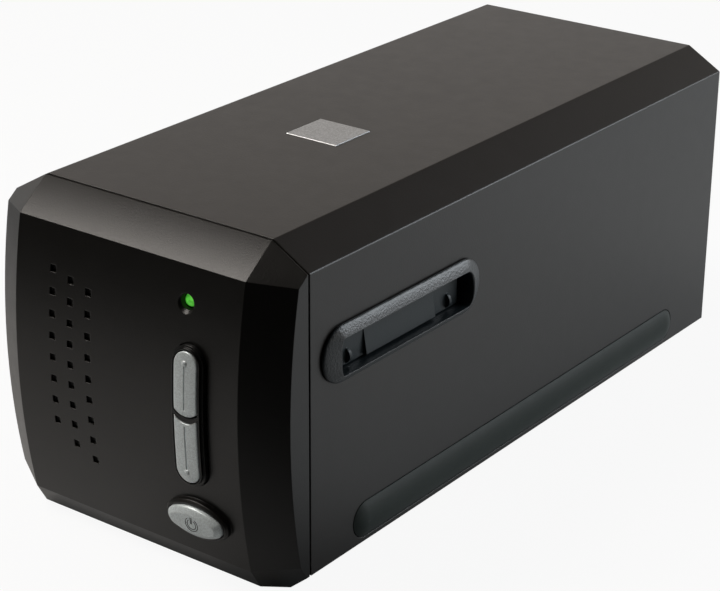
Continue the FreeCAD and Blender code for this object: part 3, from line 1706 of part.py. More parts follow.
def make_lens_strap():
    """Sheet strap that holds the lens barrel in its seat."""
    y0 = lens_y + (lens_seat_length - strap_width) / 2
    y1 = y0 + strap_width
    outer = lens_radius + strap_thickness
    arch = bar(outer, Vector(0, y0, optic_z), Vector(0, y1, optic_z))
    arch = arch.common(block(-outer, y0, optic_z, outer, y1, optic_z + outer))
    feet = block(-lens_seat_half, y0, optic_z, lens_seat_half, y1, optic_z + strap_thickness)
    hole = bar(lens_radius, Vector(0, y0 - overrun, optic_z), Vector(0, y1 + overrun, optic_z))
    return joined([arch, feet]).cut(hole)


def make_sensor_board():
    """Sensor board on the carriage's rear wall."""
    low = optic_z - sensor_board_tall / 2
    return block(-sensor_board_half, carriage_rear_y, low,
                 sensor_board_half, carriage_rear_y + board_thickness, low + sensor_board_tall)


def make_line_sensor():
    """Line sensor package, with its window towards the lens."""
    half_z = sensor_tall / 2
    front = carriage_rear_y - sensor_thickness
    body = block(-sensor_half_width, front, optic_z - half_z,
                 sensor_half_width, carriage_rear_y, optic_z + half_z)
    window = block(-sensor_window_half, front - overrun, optic_z - sensor_window_tall / 2,
                   sensor_window_half, front + sensor_window_depth, optic_z + sensor_window_tall / 2)
    return body.cut(window)


def make_light_housing():
    """Lamp house under the arm, open towards the film."""
    outer = block(-light_half_x, home_y - light_half_y, light_z, light_half_x, home_y + light_half_y, arm_z)
    hollow = block(-light_half_x + light_wall, home_y - light_half_y + light_wall, light_z - overrun,
                   light_half_x - light_wall, home_y + light_half_y - light_wall, arm_z - light_wall)
    return outer.cut(hollow)


def make_light_board():
    """Light board under the lamp house's roof, with a row of light dies."""
    half_x = light_half_x - light_wall
    half_y = light_half_y - light_wall
    low = arm_z - light_wall - board_thickness
    pieces = [block(-half_x, home_y - half_y, low, half_x, home_y + half_y, low + board_thickness)]
    pitch = 2 * half_x / light_die_count
    half = light_die_size / 2
    for index in range(light_die_count):
        x = -half_x + pitch * index + pitch / 2
        pieces.append(block(x - half, home_y - half, low - light_die_tall, x + half, home_y + half, low))
    return joined(pieces)


def make_light_diffuser():
    """Opal diffuser in the mouth of the lamp house."""
    half_x = light_half_x - light_wall
    half_y = light_half_y - light_wall
    return block(-half_x, home_y - half_y, light_z, half_x, home_y + half_y, light_z + diffuser_thickness)


def gear_outline(teeth, turn):
    """Corners of a spur gear's outline, its flanks worked out as involutes."""
    pitch = gear_module * teeth / 2
    pressure = math.radians(gear_pressure_deg)
    base = pitch * math.cos(pressure)
    tip = pitch + gear_module * gear_addendum_share
    root = pitch - gear_module * (1 + gear_root_extra)
    start = max(base, root)
    half = math.pi / (2 * teeth) - gear_backlash / (4 * pitch)
    at_base = math.tan(pressure) - pressure
    corners = []
    for tooth in range(teeth):
        middle = turn + 2 * math.pi * tooth / teeth
        flank = []
        for step in range(flank_steps + 1):
            radius = start + (tip - start) * step / flank_steps
            roll = math.acos(min(1, base / radius))
            flank.append((radius, half + at_base - (math.tan(roll) - roll)))
        rising = [(root, half + at_base)] if root < base else []
        rising += flank
        corners += [(radius * math.cos(middle - angle), radius * math.sin(middle - angle))
                    for radius, angle in rising]
        corners += [(radius * math.cos(middle + angle), radius * math.sin(middle + angle))
                    for radius, angle in reversed(rising)]
    return corners


def gear(teeth, turn, x, y, z, thickness):
    """A spur gear on an upright axis."""
    corners = [(x + u, y + v) for u, v in gear_outline(teeth, turn)]
    return slab(plan_point, corners, z, z + thickness)


def pulley(x, y):
    """A flanged belt pulley on an upright axis."""
    outer = pulley_flange_radius
    inner = pulley_radius
    low = pulley_z + pulley_flange
    high = low + pulley_width
    top = high + pulley_flange
    profile = [(0, pulley_z), (outer, pulley_z), (outer, low), (inner, low), (inner, high), (outer, high),
               (outer, top), (0, top)]
    section = face(front_point, y, [(x + u, v) for u, v in profile])
    return section.revolve(Vector(x, y, pulley_z), UP, 360)


def pulley_top_z():
    """Upper face of both pulleys."""
    return pulley_z + pulley_width + 2 * pulley_flange


def make_drive_gear():
    """Reduction gear with the belt's drive pulley on top."""
    wheel = gear(wheel_teeth, math.pi / wheel_teeth + math.pi, drive_x, drive_y, gear_z, gear_thickness)
    body = joined([wheel, pulley(drive_x, drive_y)])
    return body.cut(bar(axle_radius + axle_gap, Vector(drive_x, drive_y, gear_z - overrun),
                        Vector(drive_x, drive_y, pulley_top_z() + overrun)))


def make_pulley_axles():
    """Two like axle pins, one in the motor bracket and one in the chassis."""
    return Part.makeCompound([axle(drive_x, drive_y, bracket_z),
                              axle(drive_x, idler_y, pulley_z - fit_gap - screw_length)])


def axle(x, y, low):
    """A headed axle pin that stands upright."""
    top = pulley_top_z() + fit_gap
    shank = bar(axle_radius, Vector(x, y, low), Vector(x, y, top + axle_head))
    head = bar(axle_head_radius, Vector(x, y, top), Vector(x, y, top + axle_head))
    return joined([shank, head])


def make_idler_pulley():
    """Pulley at the front end of the belt."""
    body = pulley(drive_x, idler_y)
    return body.cut(bar(axle_radius + axle_gap, Vector(drive_x, idler_y, pulley_z - overrun),
                        Vector(drive_x, idler_y, pulley_top_z() + overrun)))


def make_drive_belt():
    """Closed flat belt around both pulleys."""
    inner = pulley_radius + belt_pulley_gap
    outer = inner + belt_thickness
    middle = (idler_y + drive_y) / 2
    length = drive_y - idler_y
    top = belt_z + belt_width
    ring = slab(plan_point, tall_stadium(drive_x, middle, 2 * outer, length + 2 * outer), belt_z, top)
    room = tall_stadium(drive_x, middle, 2 * inner, length + 2 * inner)
    return ring.cut(slab(plan_point, room, belt_z - overrun, top + overrun))


def make_belt_clamp():
    """Block on the carriage that grips the belt's inner run."""
    run_x = drive_x - pulley_radius - belt_pulley_gap
    left = carriage_half_width
    right = run_x + clamp_gap + carriage_wall / 2
    y = skid_y + skid_length + clamp_gap
    body = block(left, y, belt_z - carriage_wall - clamp_gap, right, y + clamp_block_length,
                 belt_z + belt_width + carriage_wall + clamp_gap)
    path = block(run_x - belt_thickness - clamp_gap, y - overrun, belt_z - clamp_gap,
                 right + overrun, y + clamp_block_length + overrun, belt_z + belt_width + clamp_gap)
    lip = block(run_x + clamp_gap, y, belt_z - clamp_gap,
                right, y + clamp_block_length, belt_z + belt_width / 4)
    return joined([body.cut(path), lip])


def make_motor_bracket():
    """Folded steel bracket over the motor."""
    t = bracket_thickness
    foot_x = bracket_x0 - bracket_leg_foot
    outline = [
        (foot_x, deck_z), (bracket_x0 + t, deck_z), (bracket_x0 + t, bracket_z),
        (bracket_x1 - t, bracket_z), (bracket_x1 - t, deck_z), (bracket_x1, deck_z),
        (bracket_x1, bracket_z + t), (bracket_x0, bracket_z + t), (bracket_x0, deck_z + t),
        (foot_x, deck_z + t),
    ]
    body = slab(front_point, outline, drive_y - bracket_half_depth, drive_y + bracket_half_depth)
    top = bracket_z + t + overrun
    cuts = [
        bar(axle_radius, Vector(drive_x, drive_y, bracket_z - overrun), Vector(drive_x, drive_y, top)),
        bar(motor_boss_radius, Vector(motor_x, drive_y, bracket_z - overrun), Vector(motor_x, drive_y, top)),
    ]
    for x, y in bracket_screw_places():
        above = Vector(x, y, deck_z + t + overrun)
        cuts.append(bar(screw_radius + screw_hole_gap, Vector(x, y, deck_z - overrun), above))
    return body.cut(cuts)


def make_stepper_motor():
    """Round stepper motor hung under the bracket."""
    low = bracket_z - motor_tall
    can = bar(motor_radius, Vector(motor_x, drive_y, low), Vector(motor_x, drive_y, bracket_z))
    boss = bar(motor_boss_radius, Vector(motor_x, drive_y, bracket_z - motor_boss_root),
               Vector(motor_x, drive_y, bracket_z + bracket_thickness))
    body = joined([can, boss])
    return body.cut(bar(motor_shaft_radius + axle_gap, Vector(motor_x, drive_y, low + overrun),
                        Vector(motor_x, drive_y, bracket_z + overrun + bracket_thickness)))


def make_motor_pinion():
    """Motor shaft with its pinion."""
    low = bracket_z - motor_tall + overrun + fit_gap
    top = Vector(motor_x, drive_y, gear_z + gear_thickness)
    shaft = bar(motor_shaft_radius, Vector(motor_x, drive_y, low), top)
    return joined([shaft, gear(pinion_teeth, 0, motor_x, drive_y, gear_z, gear_thickness)])


def make_detent_lever():
    """Sprung lever outside the gate wall, with the fork and pin of the detent roller."""
    pivot = detent_pivot()
    centre = detent_roller_centre()
    low = slot_z - detent_arm_tall / 2
    high = slot_z + detent_arm_tall / 2
    back_y = centre.y - detent_roller_radius - detent_fork_gap - detent_arm_thickness
    arm = block(-detent_fork_half, back_y, low, pivot.x, back_y + detent_arm_thickness, high)
    neck = block(pivot.x - detent_knuckle, back_y, low, pivot.x + detent_pivot_radius, pivot.y, high)
    knuckle = upright_bar(detent_knuckle, pivot, low, high)
    fork_gap = detent_roller_width / 2 + detent_play
    pieces = [arm, neck, knuckle]
    for start, end in ((low, slot_z - fork_gap), (slot_z + fork_gap, high)):
        pieces.append(block(-detent_fork_half, back_y, start, detent_fork_half, centre.y, end))
        pieces.append(upright_bar(detent_fork_half, centre, start, end))
    pieces.append(upright_bar(detent_pin_radius, centre, low, high))
    bore = upright_bar(detent_pivot_radius + detent_pivot_gap, pivot, low - overrun, high + overrun)
    return joined(pieces).cut(bore)


def make_detent_roller():
    """Roller that drops into the notches of a film holder."""
    centre = detent_roller_centre()
    half = detent_roller_width / 2
    low = Vector(centre.x, centre.y, slot_z - half)
    high = Vector(centre.x, centre.y, slot_z + half)
    bore_run = UP * overrun
    bore = bar(detent_pin_radius + detent_pivot_gap, low - bore_run, high + bore_run)
    return bar(detent_roller_radius, low, high).cut(bore)


def make_detent_spring():
    """Torsion spring of the detent lever: a close-wound sleeve with one leg."""
    pivot = detent_pivot()
    low = slot_z + detent_arm_tall / 2 + detent_play
    high = low + detent_spring_tall
    sleeve = upright_bar(detent_spring_radius, pivot, low, high)
    wire = detent_spring_wire
    outer = pivot.y + detent_spring_radius
    leg = block(pivot.x, outer - wire, low, pivot.x + detent_spring_leg, outer, low + wire)
    hole = upright_bar(detent_pivot_radius, pivot, low - overrun, high + overrun)
    return joined([sleeve, leg]).cut(hole)


def make_main_board():
    """Main circuit board behind the chassis wall."""
    rear = board_y + board_thickness
    board = block(-main_board_half, board_y, cover_z + main_board_low,
                  main_board_half, rear, cover_z + main_board_high)
    hole_radius = screw_radius + screw_hole_gap
    return board.cut([bar(hole_radius, Vector(x, board_y - overrun, z), Vector(x, rear + overrun, z))
                      for x, z in main_board_screw_places()])


def make_board_chips():
    """Square chips on the rear face of the main board."""
    y = board_y + board_thickness
    middle_z = cover_z + (main_board_low + main_board_high) / 2
    half_z = (main_board_high - main_board_low) / 2
    chips = []
    for share_x, share_z, size in chip_places:
        x = share_x * main_board_half
        z = middle_z + share_z * half_z
        chips.append(block(x - size / 2, y, z - size / 2, x + size / 2, y + chip_tall, z + size / 2))
    return Part.makeCompound(chips)


def make_power_jack():
    """Round low-voltage power jack: body, barrel and centre pin."""
    start = board_y + board_thickness
    end = rear_y - rear_recess - jack_pocket_depth
    half = power_jack_body / 2
    body = block(power_jack_x - half, start, jack_z - half,
                 power_jack_x + half, panel_y - rear_gap, jack_z + half)
    barrel = jack_bar(power_jack_radius, start, end)
    bore = jack_bar(power_jack_bore, (start + end) / 2, end + overrun)
    return joined([joined([body, barrel]).cut(bore), jack_bar(power_jack_pin, start, end - rear_gap)])


def jack_bar(radius, start, end):
    """A round bar on the power jack's middle line."""
    return bar(radius, Vector(power_jack_x, start, jack_z), Vector(power_jack_x, end, jack_z))


def make_data_socket():
    """Square data socket: metal shell with a contact tongue."""
    start = board_y + board_thickness
    end = rear_y - rear_recess - jack_pocket_depth
    shell = socket_block(socket_width / 2, socket_tall / 2, start, end)
    hollow = socket_block(socket_width / 2 - socket_shell, socket_tall / 2 - socket_shell,
                          start + socket_back, end + overrun)
    tongue = socket_block(socket_tongue_width / 2, socket_tongue_tall / 2, start, end - overrun)
    return joined([shell.cut(hollow), tongue])


def socket_block(half_x, half_z, start, end):
    """A block around the data socket's middle line."""
    return block(socket_x - half_x, start, jack_z - half_z, socket_x + half_x, end, jack_z + half_z)


def band(path, thickness):
    """Corners of a strip of even thickness laid along a path."""
    outer = []
    for index, here in enumerate(path):
        before = path[max(index - 1, 0)]
        after = path[min(index + 1, len(path) - 1)]
        lines = []
        for a, b in ((before, here), (here, after)):
            length = math.hypot(b[0] - a[0], b[1] - a[1])
            if length > 0:
                lines.append(((a[1] - b[1]) / length, (b[0] - a[0]) / length))
        first = lines[0]
        last = lines[-1]
        shrink = 1 + first[0] * last[0] + first[1] * last[1]
        outer.append((here[0] + thickness * (first[0] + last[0]) / shrink,
                      here[1] + thickness * (first[1] + last[1]) / shrink))
    return path + outer[::-1]


def make_button_ribbon():
    """Flat ribbon from the button board over the deck to the main board."""
    start_y = button_board_back_y
    wall_y = board_y - rear_wall_thickness
    wall_top = deck_z + rear_wall_height
    path = [
        (start_y, deck_z + ribbon_rise),
        (start_y, deck_z + ribbon_rise - ribbon_tail),
        (chassis_front_y, deck_z),
        (wall_y, deck_z),
        (wall_y, wall_top),
        (board_y, wall_top),
        (board_y, wall_top + ribbon_tail),
    ]
    half = ribbon_width / 2
    return slab(side_point, band(path, ribbon_thickness), ribbon_x - half, ribbon_x + half)


def screw(x, y, z, direction):
    """A screw with its head's seat at a point and its shank along a direction."""
    seat = Vector(x, y, z)
    shank = bar(screw_radius, seat, seat + direction * screw_length)
    head = bar(screw_head_radius, seat - direction * screw_head_height, seat)
    return joined([shank, head])


def make_fixing_screws():
    """All the screws, of one size."""
    screws = [screw(x, y, base_z + screw_seat_depth, UP) for x, y in case_screw_places()]
    screws += [screw(x, y, deck_z, UP * -1) for x, y in chassis_screw_places()]
    screws += [screw(x, y, gate_low_z + gate_floor, UP * -1) for x, y in gate_post_places()]
    screws += [screw(x, y, deck_z + bracket_thickness, UP * -1) for x, y in bracket_screw_places()]
    screws += [screw(rod_x - clamp_screw_offset, y + rod_block_length / 2, rod_z + clamp_thickness, UP * -1)
               for y in rod_block_places()]
    rear = panel_y + rear_thickness - screw_seat_depth
    screws += [screw(x, rear, z, BACK * -1) for x, z in rear_screw_places()]
    screws += [screw(x, button_board_back_y, z, BACK * -1) for x, z in bezel_boss_places()]
    screws += [screw(x, board_y + board_thickness, z, BACK * -1) for x, z in main_board_screw_places()]
    return Part.makeCompound(screws)


NODES = {
    "front_bezel": make_front_bezel,
    "top_cover": make_top_cover,
    "base_tray": make_base_tray,
    "rear_panel": make_rear_panel,
    "rubber_feet": make_rubber_feet,
    "fixing_screws": make_fixing_screws,
    "emblem_plate": make_emblem_plate,
    "button_surround": make_button_surround,
    "scan_key_upper": make_scan_key_upper,
    "scan_key_lower": make_scan_key_lower,
    "power_button": make_power_button,
    "upper_key_plunger": make_upper_key_plunger,
    "lower_key_plunger": make_lower_key_plunger,
    "power_key_plunger": make_power_plunger,
    "tact_switches": make_tact_switches,
    "button_board": make_button_board,
    "status_lamp": make_status_lamp,
    "button_ribbon": make_button_ribbon,
    "main_board": make_main_board,
    "board_chips": make_board_chips,
    "power_jack": make_power_jack,
    "data_socket": make_data_socket,
    "chassis_frame": make_chassis,
    "film_gate_lower": make_film_gate_lower,
    "film_gate_upper": make_film_gate_upper,
    "detent_lever": make_detent_lever,
    "detent_roller": make_detent_roller,
    "detent_spring": make_detent_spring,
    "flap_springs": make_flap_springs,
    "guide_rod": make_guide_rod,
    "rod_clamps": make_rod_clamps,
    "slide_rail": make_slide_rail,
    "optics_carriage": make_optics_carriage,
    "carriage_bushings": make_carriage_bushings,
    "carriage_skid": make_carriage_skid,
    "scan_mirror": make_scan_mirror,
    "lens_barrel": make_lens_barrel,
    "lens_glass": make_lens_glass,
    "lens_strap": make_lens_strap,
    "sensor_board": make_sensor_board,
    "line_sensor": make_line_sensor,
    "light_housing": make_light_housing,
    "light_board": make_light_board,
    "light_diffuser": make_light_diffuser,
    "belt_clamp": make_belt_clamp,
    "drive_belt": make_drive_belt,
    "idler_pulley": make_idler_pulley,
    "drive_gear": make_drive_gear,
    "pulley_axles": make_pulley_axles,
    "motor_bracket": make_motor_bracket,
    "stepper_motor": make_stepper_motor,
    "motor_pinion": make_motor_pinion,
}

SIDE_NODES = {
    "slot_surround": make_slot_surround,
    "dust_flap": make_dust_flap,
    "flap_pin": make_flap_pin,
    "rubber_strip": make_rubber_strip,
}


def write_node(name, shape):
    """Writes one piece to its own file."""
    shape.exportStep("parts/" + name + ".step")
    print(name, shape.isValid(), len(shape.Solids), flush=True)


def main():
    """Builds every piece and writes it to its own file."""
    os.makedirs("parts", exist_ok=True)
    for name, make in NODES.items():
        write_node(name, make())
    for name, make in SIDE_NODES.items():
        shape = make()
        write_node(name + "_right", shape)
        write_node(name + "_left", mirrored(shape))


main()
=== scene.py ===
import enum
import itertools
import logging
import math
from dataclasses import dataclass, field
from typing import Any, Callable, Iterable, Sequence

import bmesh
import bpy
from mathutils import Matrix, Vector


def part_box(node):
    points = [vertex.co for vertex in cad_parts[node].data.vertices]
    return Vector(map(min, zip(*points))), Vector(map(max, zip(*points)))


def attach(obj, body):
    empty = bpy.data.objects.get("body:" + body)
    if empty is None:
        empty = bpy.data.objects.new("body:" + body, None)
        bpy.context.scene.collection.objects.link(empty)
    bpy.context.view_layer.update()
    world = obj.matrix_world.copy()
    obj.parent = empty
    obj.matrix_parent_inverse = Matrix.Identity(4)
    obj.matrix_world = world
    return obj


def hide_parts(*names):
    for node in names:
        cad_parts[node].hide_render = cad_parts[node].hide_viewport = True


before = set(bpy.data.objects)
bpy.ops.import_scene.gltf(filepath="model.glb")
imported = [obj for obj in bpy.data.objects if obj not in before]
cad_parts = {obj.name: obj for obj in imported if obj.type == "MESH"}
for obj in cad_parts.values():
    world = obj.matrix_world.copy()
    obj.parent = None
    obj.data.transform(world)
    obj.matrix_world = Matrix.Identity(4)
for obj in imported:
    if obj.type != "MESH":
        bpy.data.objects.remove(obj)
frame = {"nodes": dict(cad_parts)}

LOG = logging.getLogger("film_negative_scanner")

# Lengths are in metres, colours are linear red, green and blue.
LEAST_RADIUS = 1e-6
WELD = 1e-6
FINE_WELD = 1e-7
STEM_STRAIGHT = 0.9
STEM_TIP = 0.8
WHITE = (1.0, 1.0, 1.0)
EVEN_STRETCH = (1, 1, 1)
BEVEL_SAMPLES = 6

# Sockets of Blender's mix node for colours: the share and the two colours, and the result.
COLOUR_MIX_INPUTS = (0, 6, 7)
COLOUR_MIX_OUTPUT = 2

Colour = tuple[float, float, float]
Corner = tuple[float, ...]
Place = tuple[float, float, float]
Point = tuple[float, float]
Span = tuple[float, float]
Ring = list[Vector]


class Side(enum.Enum):
    """The two sides of the case, with the sign of their X."""

    RIGHT = 1
    LEFT = -1


class Grain(enum.Enum):
    """How the finest surface relief of a finish runs."""

    EVEN = "the same in all directions, from spark-eroded to almost plain"
    BRUSHED = "fine lines along one direction"
    TURNED = "fine rings around an axis"


class KeyEnd(enum.Enum):
    """Which scan key: the upper one bows out at its lower end, the lower one is hollowed at its top."""

    UPPER = "upper"
    LOWER = "lower"


def shade(colour: Colour, gain: float, lift: float = 0.0) -> Colour:
    """Makes a colour darker or paler.

    Args:
        colour: the colour.
        gain: what each part is multiplied by.
        lift: what is added to each part.

    Returns:
        The new colour.
    """
    red, green, blue = (min(1.0, part * gain + lift) for part in colour)
    return red, green, blue


def aimed(place: Vector, way: Vector) -> Matrix:
    """Frame at a place, with its local Z along a direction."""
    return Matrix.Translation(place) @ way.to_track_quat("Z", "Y").to_matrix().to_4x4()


@dataclass
class Wiring:
    """The node tree of one material, or of the surroundings, while it is being wired.

    Attributes:
        owner: the material or the surroundings.
    """

    owner: bpy.types.Material | bpy.types.World

    def __post_init__(self) -> None:
        """Empties the tree and sets the output node."""
        self.owner.use_nodes = True
        self.tree = self.owner.node_tree
        self.tree.nodes.clear()
        kind = "World" if isinstance(self.owner, bpy.types.World) else "Material"
        self.output = self.tree.nodes.new("ShaderNodeOutput" + kind)

    def node(self, kind: str, **values: Any) -> bpy.types.Node:
        """Adds a node.

        Args:
            kind: the node's type name.
            values: attributes of the node, or values and links of its inputs, whose spaces are written as
                underscores.

        Returns:
            The node.
        """
        made = self.tree.nodes.new(kind)
        for name, value in values.items():
            if hasattr(made, name):
                setattr(made, name, value)
                continue
            label = name.replace("_", " ")
            plug = next(plug for plug in made.inputs if plug.name == label and plug.enabled)
            self.feed(plug, value)
        return made

    def feed(self, plug: bpy.types.NodeSocket, value: Any) -> None:
        """Sets an input to a value, or links it to an output.

        Args:
            plug: the input.
            value: the value, or another node's output.
        """
        if isinstance(value, bpy.types.NodeSocket):
            self.tree.links.new(value, plug)
        else:
            plug.default_value = value

    def math(self, operation: str, first: Any, second: Any) -> bpy.types.NodeSocket:
        """Works one operation on two numbers.

        Args:
            operation: the operation's name, such as ADD.
            first: the first number, or an output.
            second: the second number, or an output.

        Returns:
            The result's output.
        """
        made = self.node("ShaderNodeMath", operation=operation)
        for plug, number in zip(made.inputs, (first, second)):
            self.feed(plug, number)
        return made.outputs[0]

    def place(self, stretch: Sequence[float] = EVEN_STRETCH) -> bpy.types.NodeSocket:
        """Object coordinates in metres, stretched along the axes."""
        source = self.node("ShaderNodeTexCoord").outputs["Object"]
        return self.node("ShaderNodeMapping", Vector=source, Scale=tuple(stretch)).outputs[0]

    def noise(self, size: float, detail: float = 2.0,
              place: bpy.types.NodeSocket | None = None) -> bpy.types.NodeSocket:
        """Adds noise whose features are about as wide as a size.

        Args:
            size: width of the features in metres.
            detail: number of finer layers in it.
            place: coordinates that it is read at, plain ones where None.

        Returns:
            The noise's output, between 0 and 1.
        """
        made = self.node("ShaderNodeTexNoise", Vector=place or self.place(), Scale=1 / size, Detail=detail)
        return made.outputs["Fac"]

    def spread(self, value: Any, source: Span, target: Span) -> bpy.types.NodeSocket:
        """Carries a range of numbers over to another range.

        Args:
            value: the number's output.
            source: the two ends that it is read between.
            target: what stands for each of the two ends.

        Returns:
            The new number's output.
        """
        made = self.node("ShaderNodeMapRange")
        for plug, number in zip(made.inputs, (value, *source, *target)):
            self.feed(plug, number)
        return made.outputs[0]

    def tint(self, share: Any, first: Any, second: Any) -> bpy.types.NodeSocket:
        """Mixes two colours.

        Args:
            share: the second colour's share, a number or an output.
            first: the first colour, or an output.
            second: the second colour, or an output.

        Returns:
            The mixed colour's output.
        """
        made = self.node("ShaderNodeMix", data_type="RGBA")
        colours = [c if isinstance(c, bpy.types.NodeSocket) else (*c, 1.0) for c in (first, second)]
        for index, value in zip(COLOUR_MIX_INPUTS, (share, *colours)):
            self.feed(made.inputs[index], value)
        return made.outputs[COLOUR_MIX_OUTPUT]

    def finish(self, shader: bpy.types.NodeSocket) -> None:
        """Links the shader to the output."""
        self.tree.links.new(shader, self.output.inputs["Surface"])


@dataclass(frozen=True)
class Finish:
    """A surface finish: its colour, gloss and fine relief, all in real sizes.

    Attributes:
        name: the record's material slot.
        colour: the body's colour.
        roughness: how dull the gloss is.
        specular: how strong the gloss is.
        metallic: 1 for bare metal, 0 for plastic.
        grain: how the finest relief runs.
        grain_size: width of its features.
        grain_depth: their depth.
        mottle: how much the colour varies.
        edge_wear_and_highlight: how much paler the edges are, in worn chips that also serve as a painted
            highlight.
        edge_radius: radius that edges are softened to.
        edge_cosine: cosine of the turn at which a softened normal counts as a full edge.
        brushing: how much slower brushed lines change along their length.
        ring_wobble: how uneven turned rings are.
        ring_noise: share of plain noise in turned rings.
        cloud_size: width of the colour's broad clouds.
        cloud_share: their share, beside the fine flecks.
        fleck_size: width of the flecks, in grains.
        chip_size: width of the worn chips on edges.
        chip_range: noise between which chips fade in.
        worn_and_highlit_gain: how much brighter a worn edge is, which is also a painted highlight.
        worn_and_highlit_lift: what is added to that.
        smear_size: width of the smears in the gloss.
        smear_range: noise between which smears fade in.
        smear: how much they change the roughness.
    """

    name: str
    colour: Colour
    roughness: float = 0.45
    specular: float = 0.5
    metallic: float = 0.0
    grain: Grain = Grain.EVEN
    grain_size: float = 0.0005
    grain_depth: float = 0.00002
    mottle: float = 0.12
    edge_wear_and_highlight: float = 0.25
    edge_radius: float = 0.0004
    edge_cosine: float = 0.86
    brushing: float = 0.02
    ring_wobble: float = 1.5
    ring_noise: float = 0.5
    cloud_size: float = 0.045
    cloud_share: float = 0.25
    fleck_size: float = 1.4
    chip_size: float = 0.0022
    chip_range: Span = (0.42, 0.62)
    worn_and_highlit_gain: float = 1.9
    worn_and_highlit_lift: float = 0.03
    smear_size: float = 0.006
    smear_range: Span = (0.25, 0.75)
    smear: float = 0.05

    def relief(self, wires: Wiring, rounded: bpy.types.NodeSocket) -> bpy.types.NodeSocket:
        """Normal of the surface with its grain.

        Args:
            wires: the tree to wire.
            rounded: normal with softened edges.

        Returns:
            The normal output.
        """
        stretch = (1, self.brushing, 1) if self.grain is Grain.BRUSHED else EVEN_STRETCH
        height = wires.noise(self.grain_size, detail=3.0, place=wires.place(stretch))
        if self.grain is Grain.TURNED:
            rings = wires.node("ShaderNodeTexWave", wave_type="RINGS", rings_direction="SPHERICAL",
                               Vector=wires.place(), Scale=1 / self.grain_size, Distortion=self.ring_wobble)
            height = wires.math("ADD", rings.outputs["Fac"], wires.math("MULTIPLY", height, self.ring_noise))
        return wires.node("ShaderNodeBump", Strength=1.0, Distance=self.grain_depth, Height=height,
                          Normal=rounded).outputs[0]

    def edges(self, wires: Wiring) -> tuple[bpy.types.NodeSocket, bpy.types.NodeSocket]:
        """Softened normal and a mask of the edges.

        Args:
            wires: the tree to wire.

        Returns:
            The softened normal, and a number that rises from 0 on flats to 1 on edges.
        """
        rounded = wires.node("ShaderNodeBevel", samples=BEVEL_SAMPLES, Radius=self.edge_radius).outputs[0]
        true = wires.node("ShaderNodeNewGeometry").outputs["Normal"]
        dot = wires.node("ShaderNodeVectorMath", operation="DOT_PRODUCT")
        for plug, normal in zip(dot.inputs, (rounded, true)):
            wires.feed(plug, normal)
        mask = wires.spread(dot.outputs["Value"], (1.0, self.edge_cosine), (0.0, 1.0))
        return rounded, mask

    def mottled(self) -> tuple[Colour, Colour]:
        """The darkest and the palest colour of the body."""
        return shade(self.colour, 1 - self.mottle), shade(self.colour, 1 + self.mottle)

    def body_colour(self, wires: Wiring, mask: bpy.types.NodeSocket) -> bpy.types.NodeSocket:
        """Colour with cloudy and grain-sized variation, paler on the edges in worn chips that also serve as
        a painted highlight.

        Args:
            wires: the tree to wire.
            mask: number that is 1 on edges.

        Returns:
            The colour output.
        """
        cloud = wires.math("MULTIPLY", wires.noise(self.cloud_size), self.cloud_share)
        fleck = wires.noise(self.grain_size * self.fleck_size, detail=1.0)
        fleck = wires.math("MULTIPLY", fleck, 1 - self.cloud_share)
        base = wires.tint(wires.math("ADD", cloud, fleck), *self.mottled())
        chips = wires.spread(wires.noise(self.chip_size, detail=4.0), self.chip_range, (0.0, self.edge_wear_and_highlight))
        # The paler edge colour is wear and also a painted highlight, where rounded edges would catch the
        # light.
        worn_and_highlit = shade(self.colour, self.worn_and_highlit_gain, self.worn_and_highlit_lift)
        return wires.tint(wires.math("MULTIPLY", mask, chips), base, worn_and_highlit)

    def gloss(self, wires: Wiring) -> bpy.types.NodeSocket:
        """Roughness that varies a little, as handled plastic and metal do.

        Args:
            wires: the tree to wire.

        Returns:
            The roughness output.
        """
        least, most = self.roughness * (1 - self.smear), min(1.0, self.roughness * (1 + self.smear))
        return wires.spread(wires.noise(self.smear_size, detail=3.0), self.smear_range, (least, most))

    def shader(self, wires: Wiring) -> bpy.types.Node:
        """Wires the main shader.

        Args:
            wires: the tree to wire.

        Returns:
            The shader's node.
        """
        rounded, mask = self.edges(wires)
        made = wires.node("ShaderNodeBsdfPrincipled", Metallic=self.metallic,
                          Base_Color=self.body_colour(wires, mask), Roughness=self.gloss(wires),
                          Normal=self.relief(wires, rounded))
        made.inputs["Specular IOR Level"].default_value = self.specular
        return made

    def make(self) -> bpy.types.Material:
        """Makes the finish's material.

        Returns:
            The material, under the finish's own name.
        """
        wires = Wiring(bpy.data.materials.new(self.name + "_finish"))
        wires.finish(self.shader(wires).outputs[0])
        wires.owner.diffuse_color = (*self.colour, 1.0)
        return wires.owner


@dataclass(frozen=True)
class SilverPaint(Finish):
    """Silver paint on plastic, with fine metal flakes.

    Attributes:
        flake: width of a flake.
        edge_highlight_gain: how much brighter the edges are, a painted highlight.
    """

    flake: float = 0.00028
    edge_highlight_gain: float = 1.35

    def body_colour(self, wires: Wiring, mask: bpy.types.NodeSocket) -> bpy.types.NodeSocket:
        """Colour with flakes that differ in brightness, brighter along the edges as a painted highlight.

        Args:
            wires: the tree to wire.
            mask: number that is 1 on edges.

        Returns:
            The colour output.
        """
        cells = wires.node("ShaderNodeTexVoronoi", Vector=wires.place(), Scale=1 / self.flake)
        flakes = wires.node("ShaderNodeSeparateColor", Color=cells.outputs["Color"]).outputs[0]
        base = wires.tint(flakes, *self.mottled())
        # The paler edges are a painted highlight where the rounded edges would catch the light.
        return wires.tint(wires.math("MULTIPLY", mask, self.edge_wear_and_highlight), base, shade(self.colour, self.edge_highlight_gain))


